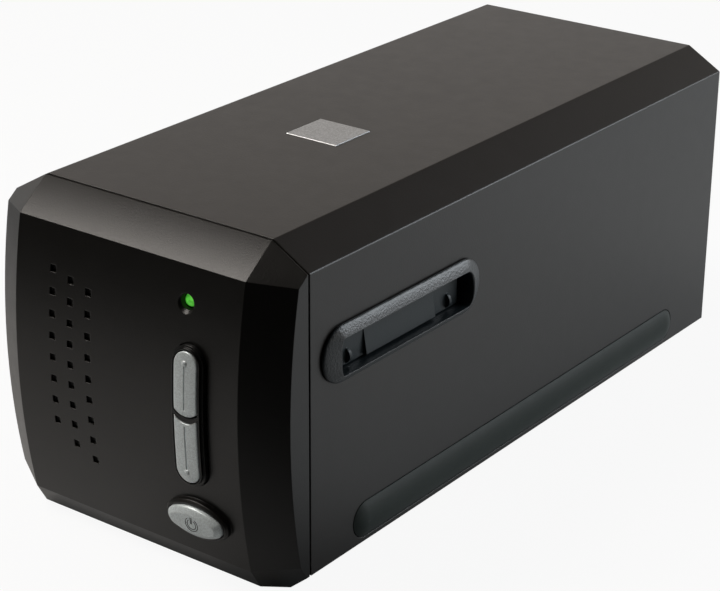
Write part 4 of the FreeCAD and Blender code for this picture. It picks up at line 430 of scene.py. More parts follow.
@dataclass(frozen=True)
class CrownedFacet(Finish):
    """Moulded bezel plastic whose broad top facet is slightly crowned.

    Attributes:
        facet_foot: height at which the facet starts.
        crown: how strongly the facet curves back above it.
        facing: the range that the Z of the facet's own normal lies in.
    """

    facet_foot: float = 0.1005
    crown: float = 13.0
    facing: Span = (0.6, 0.95)

    def edges(self, wires: Wiring) -> tuple[bpy.types.NodeSocket, bpy.types.NodeSocket]:
        """Softened normal, bent back along the top facet, and the mask of the edges.

        Args:
            wires: the tree to wire.

        Returns:
            The bent normal, and a number that rises from 0 on flats to 1 on edges.
        """
        rounded, mask = super().edges(wires)
        height = wires.node("ShaderNodeSeparateXYZ", Vector=wires.place()).outputs["Z"]
        normal = wires.node("ShaderNodeNewGeometry").outputs["Normal"]
        tilt = wires.node("ShaderNodeSeparateXYZ", Vector=normal).outputs["Z"]
        climb = wires.math("MAXIMUM", wires.math("SUBTRACT", height, self.facet_foot), 0.0)
        drop = wires.math("MULTIPLY", wires.math("MULTIPLY", climb, climb), -self.crown)
        least, most = self.facing
        upward = wires.math("MULTIPLY", wires.math("GREATER_THAN", tilt, least),
                            wires.math("LESS_THAN", tilt, most))
        bent = wires.node("ShaderNodeBump", Strength=1.0, Distance=1.0, Normal=rounded,
                          Height=wires.math("MULTIPLY", drop, upward)).outputs[0]
        return bent, mask


@dataclass(frozen=True)
class CircuitBoard(Finish):
    """Solder mask with copper runs under it and tinned pads.

    Attributes:
        run: spacing of the copper runs.
        run_width: their width, as a share of the spacing.
        run_gain: how much paler they are than the mask.
        pad_spacing: spacing of the pads, in runs.
        pad_order: how far the pads stray from a grid.
        pad_size: radius of a pad, as a share of their spacing.
        pad_colour: colour of the tin.
    """

    run: float = 0.0022
    run_width: float = 0.12
    run_gain: float = 1.6
    pad_spacing: float = 2.2
    pad_order: float = 0.35
    pad_size: float = 0.16
    pad_colour: Colour = (0.52, 0.52, 0.48)

    def body_colour(self, wires: Wiring, mask: bpy.types.NodeSocket) -> bpy.types.NodeSocket:
        """Green mask, paler over the copper runs, with tinned dots.

        Args:
            wires: the tree to wire.
            mask: number that is 1 on edges; not used, as this finish leaves the edges as they are.

        Returns:
            The colour output.
        """
        where = wires.place()
        grid = wires.node("ShaderNodeTexBrick", Vector=where, Scale=1 / self.run, Mortar_Size=self.run_width)
        base = wires.tint(grid.outputs["Fac"], self.colour, shade(self.colour, self.run_gain))
        dots = wires.node("ShaderNodeTexVoronoi", Vector=where, Scale=1 / (self.pad_spacing * self.run),
                          Randomness=self.pad_order)
        pads = wires.math("LESS_THAN", dots.outputs["Distance"], self.pad_size)
        return wires.tint(pads, base, self.pad_colour)


@dataclass(frozen=True)
class LampGlow(Finish):
    """Coloured lamp body that glows from inside.

    Attributes:
        strength: how bright it glows.
        rim_blend: how narrow the dimmer rim is.
        core_range: facing between which the glow falls off.
        core_glow: the glow at the core and at the rim.
        spot_size: width of the uneven spots in the glow.
        spot_range: noise between which spots fade in.
        spot_glow: the glow of a dim and of a bright spot.
        rim_colour: the glow's colour at the rim.
        core_colour: its colour at the core.
    """

    strength: float = 1.0
    rim_blend: float = 0.45
    core_range: Span = (0.0, 0.9)
    core_glow: Span = (1.0, 0.15)
    spot_size: float = 0.0016
    spot_range: Span = (0.35, 0.65)
    spot_glow: Span = (0.25, 1.0)
    rim_colour: Colour = (0.03, 0.32, 0.02)
    core_colour: Colour = (0.20, 0.95, 0.10)

    def shader(self, wires: Wiring) -> bpy.types.Node:
        """Tinted body with a bright core that falls off towards the rim.

        Args:
            wires: the tree to wire.

        Returns:
            The shader's node.
        """
        made = super().shader(wires)
        facing = wires.node("ShaderNodeLayerWeight", Blend=self.rim_blend).outputs["Facing"]
        spots = wires.spread(wires.noise(self.spot_size, detail=1.0), self.spot_range, self.spot_glow)
        core = wires.math("MULTIPLY", wires.spread(facing, self.core_range, self.core_glow), spots)
        wires.feed(made.inputs["Emission Color"], wires.tint(core, self.rim_colour, self.core_colour))
        made.inputs["Emission Strength"].default_value = self.strength
        return made


@dataclass(frozen=True)
class ClearGlass(Finish):
    """Coated optical glass.

    Attributes:
        clearness: share of the light that passes.
        index: index of refraction.
    """

    clearness: float = 0.9
    index: float = 1.52

    def shader(self, wires: Wiring) -> bpy.types.Node:
        """Glass with a faint bloom in its gloss.

        Args:
            wires: the tree to wire.

        Returns:
            The shader's node.
        """
        made = super().shader(wires)
        made.inputs["Transmission Weight"].default_value = self.clearness
        made.inputs["IOR"].default_value = self.index
        return made


def finishes() -> dict[str, Finish]:
    """The finish of each material slot of the record.

    Returns:
        Finishes by slot name.
    """
    moulded = 0.0006
    table = [
        CrownedFacet("bezel_black", (0.0046, 0.0042, 0.0034), 0.34, grain_size=moulded, grain_depth=0.00003,
                     edge_wear_and_highlight=0.35),
        Finish("cover_grey", (0.0132, 0.0117, 0.0106), 0.36, grain_size=moulded, grain_depth=0.000034,
               edge_wear_and_highlight=0.5, edge_radius=0.0005),
        Finish("base_black", (0.014, 0.0135, 0.013), 0.5, 0.2, grain_size=moulded),
        Finish("panel_grey", (0.019, 0.018, 0.0175), 0.5, 0.25, grain_size=moulded, grain_depth=0.00003),
        Finish("surround_grey", (0.013, 0.018, 0.021), 0.30, 0.60, grain_size=0.0007, grain_depth=0.00016,
               edge_wear_and_highlight=1.0),
        Finish("flap_black", (0.022, 0.031, 0.035), 0.42, 0.35, edge_wear_and_highlight=0.6),
        Finish("rubber_grey", (0.024, 0.033, 0.030), 0.52, 0.26, grain_size=0.0003, grain_depth=0.00001,
               edge_wear_and_highlight=0.1),
        Finish("rubber_black", (0.014, 0.014, 0.014), 0.75, 0.3, grain_size=moulded, grain_depth=0.00004,
               edge_wear_and_highlight=0.1),
        Finish("trim_black", (0.006, 0.006, 0.006), 0.28, 0.4, grain_size=0.0004, grain_depth=0.000006),
        SilverPaint("key_silver", (0.78, 0.86, 0.88), 0.34, metallic=0.22, grain_size=0.0003,
                    grain_depth=0.000006, mottle=0.14, edge_wear_and_highlight=0.9, edge_radius=0.0003),
        SilverPaint("emblem_silver", (0.46, 0.47, 0.48), 0.38, metallic=0.60, grain=Grain.BRUSHED,
                    grain_size=0.0004, grain_depth=0.000008, mottle=0.22, edge_wear_and_highlight=0.9, edge_radius=0.0001,
                    flake=0.0004),
        LampGlow("lamp_green", (0.05, 0.45, 0.03), 0.12, grain_size=0.002, grain_depth=0.000002,
                 strength=0.55),
        Finish("screw_steel", (0.33, 0.33, 0.34), 0.32, metallic=1.0, grain=Grain.TURNED, grain_size=0.0006,
               grain_depth=0.000008),
        Finish("shell_steel", (0.55, 0.55, 0.56), 0.28, metallic=1.0, grain=Grain.BRUSHED, grain_size=0.0004,
               grain_depth=0.000008),
        Finish("sheet_steel", (0.50, 0.51, 0.52), 0.35, metallic=1.0, grain=Grain.BRUSHED,
               grain_size=0.0006),
        Finish("ground_steel", (0.60, 0.60, 0.61), 0.18, metallic=1.0, grain=Grain.BRUSHED,
               grain_size=0.0003, grain_depth=0.000004),
        Finish("spring_steel", (0.42, 0.42, 0.43), 0.3, metallic=1.0, grain_size=0.0004,
               grain_depth=0.000006),
        Finish("motor_steel", (0.40, 0.40, 0.40), 0.38, metallic=1.0, grain=Grain.BRUSHED,
               grain_size=0.0006),
        Finish("lens_metal", (0.012, 0.012, 0.013), 0.35, metallic=0.4, grain=Grain.TURNED,
               grain_depth=0.000014),
        Finish("brass_gear", (0.56, 0.41, 0.16), 0.3, metallic=1.0, grain_depth=0.000008),
        Finish("bronze", (0.42, 0.26, 0.12), 0.42, metallic=1.0, grain_size=0.0003, mottle=0.3),
        Finish("mirror_glass", (0.86, 0.88, 0.88), 0.03, metallic=1.0, grain_size=0.01, grain_depth=0.000001,
               mottle=0.02, edge_wear_and_highlight=0.05),
        ClearGlass("lens_glass", (0.90, 0.93, 0.95), 0.03, grain_size=0.01, grain_depth=0.000001,
                   mottle=0.03, edge_wear_and_highlight=0.0),
        CircuitBoard("board_green", (0.010, 0.085, 0.040), 0.35, grain_size=0.0008),
        Finish("chip_black", (0.012, 0.012, 0.013), 0.5, grain_size=0.0003, edge_wear_and_highlight=0.1),
        Finish("ribbon_grey", (0.30, 0.30, 0.31), 0.5, grain=Grain.BRUSHED, grain_size=0.0012,
               grain_depth=0.00008),
        Finish("switch_black", (0.014, 0.014, 0.015), 0.45, grain_size=0.0004),
        Finish("plunger_white", (0.62, 0.61, 0.57), 0.4, mottle=0.05),
        Finish("nylon_white", (0.66, 0.65, 0.60), 0.42, grain_size=moulded, mottle=0.06),
        Finish("housing_white", (0.68, 0.68, 0.66), 0.4, grain_size=moulded, mottle=0.05),
        Finish("opal_white", (0.82, 0.82, 0.80), 0.35, grain_size=0.002, mottle=0.03),
        Finish("ceramic_grey", (0.16, 0.15, 0.15), 0.5, grain_size=0.0003),
        Finish("frame_plastic", (0.028, 0.028, 0.029), 0.52, 0.4, grain_size=moulded, grain_depth=0.00004),
        Finish("gate_black", (0.010, 0.010, 0.011), 0.6, 0.3, grain_depth=0.00004),
        Finish("carriage_black", (0.020, 0.020, 0.021), 0.5, 0.4, grain_size=moulded, grain_depth=0.00004),
        Finish("belt_black", (0.016, 0.016, 0.016), 0.7, 0.3, grain_depth=0.00005),
    ]
    return {finish.name: finish for finish in table}


@dataclass
class Wardrobe:
    """Makes each finish's material once and dresses nodes and pieces with it.

    Attributes:
        table: the finishes by slot name.
        made: the materials made so far, by slot name.
    """

    table: dict[str, Finish] = field(default_factory=finishes)
    made: dict[str, bpy.types.Material] = field(default_factory=dict)

    def material(self, slot: str) -> bpy.types.Material:
        """The material of a slot, made at its first use.

        Args:
            slot: the slot's name.

        Returns:
            The material.
        """
        if slot not in self.made:
            self.made[slot] = self.table[slot].make()
        return self.made[slot]

    def dress(self, piece: bpy.types.Object, slot: str) -> None:
        """Puts a slot's material on a new piece.

        Args:
            piece: the piece.
            slot: the slot's name.
        """
        piece.data.materials.clear()
        piece.data.materials.append(self.material(slot))

    def dress_nodes(self, nodes: dict[str, bpy.types.Object]) -> None:
        """Gives every CAD node the finish that its slot asks for.

        Args:
            nodes: the frame's nodes by name.
        """
        for node in nodes.values():
            for index, old in enumerate(node.data.materials):
                node.data.materials[index] = self.material(old.name.split(".")[0])


@dataclass
class MeshMaker:
    """Collects the vertices and faces of one piece.

    Attributes:
        name: the piece's name.
    """

    name: str

    def __post_init__(self) -> None:
        """Starts an empty mesh."""
        self.mesh = bmesh.new()

    def ring(self, points: Iterable[Vector]) -> list[bmesh.types.BMVert]:
        """Adds the vertices of a ring."""
        return [self.mesh.verts.new(point) for point in points]

    def bridge(self, first: Sequence[bmesh.types.BMVert], second: Sequence[bmesh.types.BMVert],
               closed: bool = True) -> None:
        """Joins two rings of equal count with a band of faces.

        Args:
            first: the first ring.
            second: the second ring.
            closed: whether the rings close on themselves.
        """
        count = len(first)
        for index in range(count if closed else count - 1):
            after = (index + 1) % count
            self.mesh.faces.new((first[index], first[after], second[after], second[index]))

    def loft(self, rings: Sequence[Sequence[Vector]], start_cap: bool = False, end_cap: bool = False,
             join_ends: bool = False) -> None:
        """Skins a row of rings.

        Args:
            rings: rings of points, all of one count.
            start_cap: whether the first ring is filled.
            end_cap: whether the last ring is filled.
            join_ends: whether the last ring is joined to the first.
        """
        rows = [self.ring(points) for points in rings]
        for first, second in zip(rows, rows[1:]):
            self.bridge(first, second)
        if join_ends:
            self.bridge(rows[-1], rows[0])
        if start_cap:
            self.mesh.faces.new(rows[0][::-1])
        if end_cap:
            self.mesh.faces.new(rows[-1])

    def lathe(self, profile: Sequence[tuple[float, float]], place: Matrix, count: int = 32) -> None:
        """Turns a profile of radius and height around the local Z of a place.

        Args:
            profile: radius and height pairs, from the first closed end to the last.
            place: where the turned body's frame lies.
            count: number of segments around.
        """
        turns = [math.tau * k / count for k in range(count)]
        rings = [[place @ Vector((reach * math.cos(a), reach * math.sin(a), height)) for a in turns]
                 for reach, height in ((max(radius, LEAST_RADIUS), height) for radius, height in profile)]
        self.loft(rings, start_cap=True, end_cap=True)

    def tube(self, path: Sequence[Vector], radius: float, count: int = 10) -> None:
        """Sweeps a round section along a path of points.

        Args:
            path: the points of the middle line.
            radius: radius of the section.
            count: number of segments around.
        """
        turns = [math.tau * k / count for k in range(count)]
        rings = []
        across = None
        for index, point in enumerate(path):
            along = (path[min(index + 1, len(path) - 1)] - path[max(index - 1, 0)]).normalized()
            if across is None:
                across = along.orthogonal().normalized()
            across = (across - along * across.dot(along)).normalized()
            other = along.cross(across)
            rings.append([point + (across * math.cos(a) + other * math.sin(a)) * radius for a in turns])
        self.loft(rings, start_cap=True, end_cap=True)

    def stem(self, foot: Vector, length: float, radius: float) -> None:
        """Adds the stem of a key, which runs back along Y to its switch and tapers at its tip.

        Args:
            foot: where it starts on the key.
            length: its length.
            radius: its radius.
        """
        profile = [(radius, 0.0), (radius, length * STEM_STRAIGHT), (radius * STEM_TIP, length)]
        self.lathe(profile, aimed(foot, Vector((0, 1, 0))), count=20)

    def piece(self, smooth_angle: float = 32.0, weld: float = WELD) -> bpy.types.Object:
        """Turns the collected mesh into an object.

        Args:
            smooth_angle: angle in degrees over which an edge stays sharp.
            weld: distance under which vertices are merged.

        Returns:
            The object, linked to the scene.
        """
        bmesh.ops.remove_doubles(self.mesh, verts=self.mesh.verts, dist=weld)
        bmesh.ops.recalc_face_normals(self.mesh, faces=self.mesh.faces)
        data = bpy.data.meshes.new(self.name)
        self.mesh.to_mesh(data)
        self.mesh.free()
        data.shade_smooth()
        data.set_sharp_from_angle(angle=math.radians(smooth_angle))
        made = bpy.data.objects.new(self.name, data)
        bpy.context.scene.collection.objects.link(made)
        return made


@dataclass
class Outline:
    """A closed outline of lines and arcs.

    Attributes:
        corners: its corners in order. One of four values starts an arc, which passes through the last two.
    """

    corners: list[Corner]

    @staticmethod
    def stadium(u: float, v: float, length: float, height: float) -> "Outline":
        """Slot outline with round ends, long along its first axis.

        Args:
            u: its middle along the first axis.
            v: its middle along the second axis.
            length: its length.
            height: its height.

        Returns:
            The outline.
        """
        end = height / 2
        run = length / 2 - end
        return Outline([(u - run, v - end), (u + run, v - end, u + run + end, v), (u + run, v + end),
                        (u - run, v + end, u - run - end, v)])

    @staticmethod
    def bulged(u: float, v: float, length: float, height: float, bulge: float) -> "Outline":
        """Rectangle whose short ends bow outwards.

        Args:
            u: its middle along the first axis.
            v: its middle along the second axis.
            length: its length between the corners.
            height: its height.
            bulge: how far each end bows out.

        Returns:
            The outline.
        """
        end, half = length / 2, height / 2
        return Outline([(u - end, v - half), (u + end, v - half, u + end + bulge, v), (u + end, v + half),
                        (u - end, v + half, u - end - bulge, v)])

    @staticmethod
    def oval(width: float, tall: float, end_share: float) -> "Outline":
        """Oval of four tangent arcs around the origin.

        Args:
            width: its width.
            tall: its height.
            end_share: radius of its end arcs, as a share of half its height.

        Returns:
            The outline.
        """
        a, b = width / 2, tall / 2
        end = b * end_share
        side = ((a - end) ** 2 + b ** 2 - end ** 2) / (2 * (b - end))
        u = (a - end) * side / (side - end)
        v = end * (side - b) / (side - end)
        return Outline([(u, -v, a, 0.0), (u, v, 0.0, b), (-u, v, -a, 0.0), (-u, -v, 0.0, -b)])

    @staticmethod
    def arc(a: Point, b: Point, c: Point, steps: int) -> list[Point]:
        """Points on the arc from a through b to c, without the last.

        Args:
            a: start point.
            b: a point between.
            c: end point.
            steps: number of points.

        Returns:
            The points.
        """
        d = 2 * (a[0] * (b[1] - c[1]) + b[0] * (c[1] - a[1]) + c[0] * (a[1] - b[1]))
        sq = [p[0] ** 2 + p[1] ** 2 for p in (a, b, c)]
        x = (sq[0] * (b[1] - c[1]) + sq[1] * (c[1] - a[1]) + sq[2] * (a[1] - b[1])) / d
        y = (sq[0] * (c[0] - b[0]) + sq[1] * (a[0] - c[0]) + sq[2] * (b[0] - a[0])) / d
        radius = math.hypot(a[0] - x, a[1] - y)
        start, middle, end = (math.atan2(p[1] - y, p[0] - x) for p in (a, b, c))
        turn = (end - start) % math.tau
        if (middle - start) % math.tau > turn:
            turn -= math.tau
        angles = [start + turn * k / steps for k in range(steps)]
        return [(x + radius * math.cos(angle), y + radius * math.sin(angle)) for angle in angles]

    def points(self, line_steps: int = 8, arc_steps: int = 16) -> list[Point]:
        """Points around the outline.

        Args:
            line_steps: points on each line.
            arc_steps: points on each arc.

        Returns:
            The points in order.
        """
        made: list[Point] = []
        for here, there in zip(self.corners, self.corners[1:] + self.corners[:1]):
            if len(here) == 4:
                made += self.arc(here[:2], here[2:], there[:2], arc_steps)
            else:
                made += [(here[0] + (there[0] - here[0]) * k / line_steps,
                          here[1] + (there[1] - here[1]) * k / line_steps) for k in range(line_steps)]
        return made


@dataclass
class FrontFace:
    """The bowed front face: a wide cylinder about a level axis.

    Attributes:
        nose_y: depth of its foremost line.
        radius: radius of the cylinder.
        middle_z: height of the foremost line.
    """

    nose_y: float = -0.1332
    radius: float = 0.240
    middle_z: float = 0.058

    def y(self, z: float) -> float:
        """Depth of the face at a height."""
        return self.nose_y + self.radius - math.sqrt(self.radius ** 2 - (z - self.middle_z) ** 2)

    def out(self, z: float) -> Vector:
        """Direction out of the face at a height."""
        return Vector((0.0, self.y(z) - self.nose_y - self.radius, z - self.middle_z)).normalized()


@dataclass
class SlotSurround:
    """Raised oval surround of a film slot, rounded outside and open through its tunnel.

    Attributes:
        side: the side of the case.
        opening_length: length of the tunnel between its corners.
        opening_tall: height of the tunnel.
        opening_bulge: how far the tunnel's ends bow out.
        tunnel_wall: thickness of the tunnel's wall.
        tunnel_depth: how far it reaches into the case.
        rim_length: length of the rim's foot.
        rim_tall: height of the rim's foot.
        crest_height: how far the rim stands out of the case.
        crest_lip: how far the mouth's edge lies below the crest.
        mouth_lip: how far its straight wall reaches below the crest.
        mouth_front: from the slot's middle to the mouth's front corners.
        mouth_rear: from the slot's middle to its rear corners.
        mouth_front_reach: how far the front end bows out.
        mouth_rear_reach: how far the rear end bows out.
        mouth_drop: how far the mouth's top lies below the tunnel's.
        front_squareness: power of the front end's curve, 2 for an ellipse.
        rear_squareness: power of the rear end's curve.
        seat_gap: width and depth of the gap around the foot.
        slope: shares of the way in and of the height, from the foot to the crest.
        line_steps: points on each straight run.
        arc_steps: points on each end.
    """

    side: Side
    opening_length: float = 0.066
    opening_tall: float = 0.0133
    opening_bulge: float = 0.0032
    tunnel_wall: float = 0.0016
    tunnel_depth: float = 0.0102
    rim_length: float = 0.0840
    rim_tall: float = 0.0192
    crest_height: float = 0.0030
    crest_lip: float = 0.0004
    mouth_lip: float = 0.0016
    mouth_front: float = 0.0330
    mouth_rear: float = 0.0320
    mouth_front_reach: float = 0.0017
    mouth_rear_reach: float = 0.0040
    mouth_drop: float = 0.0010
    front_squareness: float = 3.4
    rear_squareness: float = 2.2
    seat_gap: float = 0.0005
    slope: tuple[Point, ...] = (
        (0.00, 0.17), (0.00, 0.22), (0.02, 0.30), (0.08, 0.39), (0.20, 0.50), (0.40, 0.65), (0.60, 0.79),
        (0.80, 0.91), (0.94, 0.99),
    )
    line_steps: int = 24
    arc_steps: int = 20

    @property
    def node(self) -> str:
        """Name of the CAD node that it stands for."""
        return "slot_surround_" + self.side.name.lower()

    def build(self, wardrobe: Wardrobe) -> bpy.types.Object:
        """Builds and dresses the surround.

        Args:
            wardrobe: the finishes.

        Returns:
            The piece.
        """
        low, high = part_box(self.node)
        middle_y, middle_z = (low.y + high.y) / 2, (low.z + high.z) / 2
        wall_x = (high.x if self.side is Side.RIGHT else -low.x) - self.crest_height
        counts = (self.line_steps, self.arc_steps)

        def ring(points: Iterable[Point], height: float) -> Ring:
            """One ring of points at a height over the case's wall."""
            return [Vector((self.side.value * (wall_x + height), u, v)) for u, v in points]

        def rim(inset: float) -> list[Point]:
            """Outline of the rim's foot, drawn in by an inset."""
            length, tall = self.rim_length - 2 * inset, self.rim_tall - 2 * inset
            return Outline.stadium(middle_y, middle_z, length, tall).points(*counts)

        def tunnel(margin: float) -> list[Point]:
            """Outline of the tunnel, widened by a margin."""
            length, tall = self.opening_length + 2 * margin, self.opening_tall + 2 * margin
            return Outline.bulged(middle_y, middle_z, length, tall, self.opening_bulge).points(*counts)

        foot, mouth, seat = rim(0), self.mouth(middle_y, middle_z), rim(self.seat_gap)
        rings = [ring(seat, 0.0), ring(seat, self.seat_gap)]
        for share, rise in self.slope:
            points = [(a + (c - a) * share, b + (d - b) * share) for (a, b), (c, d) in zip(foot, mouth)]
            rings.append(ring(points, self.crest_height * rise))
        rings += [ring(mouth, self.crest_height - depth) for depth in (self.crest_lip, self.mouth_lip)]
        inside, outside = tunnel(0), tunnel(self.tunnel_wall)
        rings += [ring(inside, 0.0), ring(inside, -self.tunnel_depth), ring(outside, -self.tunnel_depth),
                  ring(outside, 0.0)]
        maker = MeshMaker("surround_" + self.side.name.lower())
        maker.loft(rings, join_ends=True)
        piece = maker.piece(smooth_angle=40)
        wardrobe.dress(piece, "surround_grey")
        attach(piece, "case")
        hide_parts(self.node)
        return piece

    def mouth(self, middle_y: float, middle_z: float) -> list[Point]:
        """Outline of the mouth: a nearly square front end and a rounder rear end.

        Args:
            middle_y: middle of the slot along the case.
            middle_z: height of the slot's middle.

        Returns:
            Points in the order of the rim's own outline.
        """
        low, high = middle_z - self.opening_tall / 2, middle_z + self.opening_tall / 2 - self.mouth_drop
        front, rear = middle_y - self.mouth_front, middle_y + self.mouth_rear
        half, centre = (high - low) / 2, (high + low) / 2

        def run(start: float, stop: float, z: float) -> list[Point]:
            """Points on a straight run at a height, without the last."""
            return [(start + (stop - start) * k / self.line_steps, z) for k in range(self.line_steps)]

        def end(start: float, reach: float, power: float, turn: int) -> list[Point]:
            """Points on one bowed end, without the last.

            Args:
                start: where its corners are along the case.
                reach: how far it bows out from there.
                power: how square it is.
                turn: 1 to go up, -1 to go down.

            Returns:
                The points.
            """
            shares = [-math.cos(math.pi * k / self.arc_steps) for k in range(self.arc_steps)]
            return [(start + reach * (1 - abs(share) ** power) ** (1 / power), centre + turn * half * share)
                    for share in shares]

        return (run(front, rear, low) + end(rear, self.mouth_rear_reach, self.rear_squareness, 1)
                + run(rear, front, high) + end(front, -self.mouth_front_reach, self.front_squareness, -1))


@dataclass
class ScanKey:
    """A scan key cap with rounded edges, a fine groove and a raised dot.

    Attributes:
        end: which of the two keys.
        face: the front face that it stands on.
        half_width: half the cap's width.
        middle_x: where its middle lies across the face.
        proud: how far the cap's edge stands out of the face.
        skirt_depth: how far its skirt reaches in.
        flange: how far the flange stands out of the skirt.
        flange_thickness: its thickness.
        edge_round: radius of the cap's edge.
        edge_steps: steps around that edge.
        crown: how much higher the cap's middle is.
        crown_shares: where the crown has its rings, as shares of half the width.
        sag: how deep the curve between the two keys is.
        spine_sag: share of the sag that the upper key's groove keeps from its curved end.
        spine_hollow: the same for the lower key.
        groove_half: half the groove's width.
        groove_slope: width of its wall, as a share of half the cap's width.
        groove_depth: its depth.
        dot_radius: radius of the dot.
        dot_proud: how far it stands out.
        dot_wall: share of that which is upright.
        dot_angles: where the dot's dome has its rings.
        dot_inset: from the cap's round end to the dot.
        stem_radius: radius of the stem.
    """

    end: KeyEnd
    face: FrontFace = field(default_factory=FrontFace)
    half_width: float = 0.00465
    middle_x: float = 0.0278
    proud: float = 0.00275
    skirt_depth: float = 0.0044
    flange: float = 0.0008
    flange_thickness: float = 0.0012
    edge_round: float = 0.00055
    edge_steps: int = 5
    crown: float = 0.00025
    crown_shares: tuple[float, ...] = (0.3, 0.5, 0.7, 0.85)
    sag: float = 0.00185
    spine_sag: float = 0.25
    spine_hollow: float = 1.5
    groove_half: float = 0.00028
    groove_slope: float = 0.02
    groove_depth: float = 0.0004
    dot_radius: float = 0.0010
    dot_proud: float = 0.00070
    dot_wall: float = 0.3
    dot_angles: tuple[float, ...] = (0.3, 0.6, 0.9, 1.2, 1.5)
    dot_inset: float = 0.0040
    stem_radius: float = 0.0016

    @property
    def node(self) -> str:
        """Name of the CAD node that it stands for."""
        return "scan_key_" + self.end.value

    def outline(self) -> tuple[Outline, Span]:
        """Outline of the cap and its middle line.

        Returns:
            The outline, and the heights of the middle line's low and high end.
        """
        low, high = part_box(self.node)
        z0, z1 = low.z + self.flange, high.z - self.flange
        x, half = self.middle_x, self.half_width
        if self.end is KeyEnd.UPPER:
            foot, neck = z0 + self.sag, z1 - half
            corners = [(x - half, foot, x, z0), (x + half, foot), (x + half, neck, x, z1), (x - half, neck)]
            return Outline(corners), (foot + self.spine_sag * self.sag, z1 - self.dot_inset)
        neck = z0 + half
        hollow = z1 - self.sag
        corners = [(x - half, neck, x, z0), (x + half, neck), (x + half, z1, x, hollow), (x - half, z1)]
        return Outline(corners), (z0 + self.dot_inset, z1 - self.sag * self.spine_hollow)

    def steps(self) -> list[Point]:
        """Section of the cap from its flange to the floor of its groove.

        Returns:
            Pairs of the share of the way in to the middle line, and the height over the front face.
        """
        flange, flange_top = -self.flange / self.half_width, -self.skirt_depth + self.flange_thickness
        made = [(flange, -self.skirt_depth), (flange, flange_top), (0.0, flange_top)]
        for k in range(self.edge_steps + 1):
            angle = math.pi / 2 * k / self.edge_steps
            made.append((self.edge_round / self.half_width * (1 - math.cos(angle)),
                         self.proud - self.edge_round * (1 - math.sin(angle))))
        made += [(share, self.proud + self.crown * math.sin(share * math.pi / 2))
                 for share in self.crown_shares]
        top, groove = self.proud + self.crown, 1 - self.groove_half / self.half_width
        floor = top - self.groove_depth
        return made + [(groove, top), (groove + self.groove_slope, floor), (1.0, floor)]

    def ring(self, points: Iterable[Point], spine: Span, share: float, height: float) -> Ring:
        """One ring of the cap, drawn in towards its middle line.

        Args:
            points: the cap's outline.
            spine: heights of the middle line's low and high end.
            share: how far the outline is drawn in, from 0 to 1.
            height: height over the front face.

        Returns:
            The ring.
        """
        made = []
        for u, v in points:
            centre = min(max(v, spine[0]), spine[1])
            z = v + (centre - v) * share
            made.append(Vector((u + (self.middle_x - u) * share, self.face.y(z) - height, z)))
        return made

    def build(self, wardrobe: Wardrobe) -> bpy.types.Object:
        """Builds and dresses the key.

        Args:
            wardrobe: the finishes.

        Returns:
            The piece.
        """
        outline, spine = self.outline()
        points = outline.points(line_steps=20, arc_steps=20)
        maker = MeshMaker("key_cap_" + self.end.value)
        rings = [self.ring(points, spine, share, height) for share, height in self.steps()]
        maker.loft(rings, start_cap=True)
        self.add_dot(maker, spine[1] if self.end is KeyEnd.UPPER else spine[0])
        self.add_stem(maker, (spine[0] + spine[1]) / 2)
        piece = maker.piece(smooth_angle=38)
        wardrobe.dress(piece, "key_silver")
        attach(piece, self.end.value + "_key")
        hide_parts(self.node)
        return piece

    def add_dot(self, maker: MeshMaker, z: float) -> None:
        """Adds the raised dot.

        Args:
            maker: the key's mesh.
            z: height of the dot's middle.
        """
        out = self.face.out(z)
        floor = self.proud + self.crown - self.groove_depth
        base = Vector((self.middle_x, self.face.y(z), z)) + out * floor
        rise = self.dot_proud - self.crown + self.groove_depth
        wall, dome = self.dot_wall * rise, (1 - self.dot_wall) * rise
        profile = [(self.dot_radius, -self.groove_depth), (self.dot_radius, wall)]
        profile += [(self.dot_radius * math.cos(a), wall + dome * math.sin(a)) for a in self.dot_angles]
        maker.lathe(profile, aimed(base, out), count=20)

    def add_stem(self, maker: MeshMaker, z: float) -> None:
        """Adds the stem that reaches the switch plunger.

        Args:
            maker: the key's mesh.
            z: height at which the key's back is measured.
        """
        start = self.face.y(z) + self.skirt_depth - self.flange_thickness / 2
        low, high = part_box(self.end.value + "_key_plunger")
        centre = (low + high) / 2
        maker.stem(Vector((centre.x, start, centre.z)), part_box(self.node)[1].y - start, self.stem_radius)


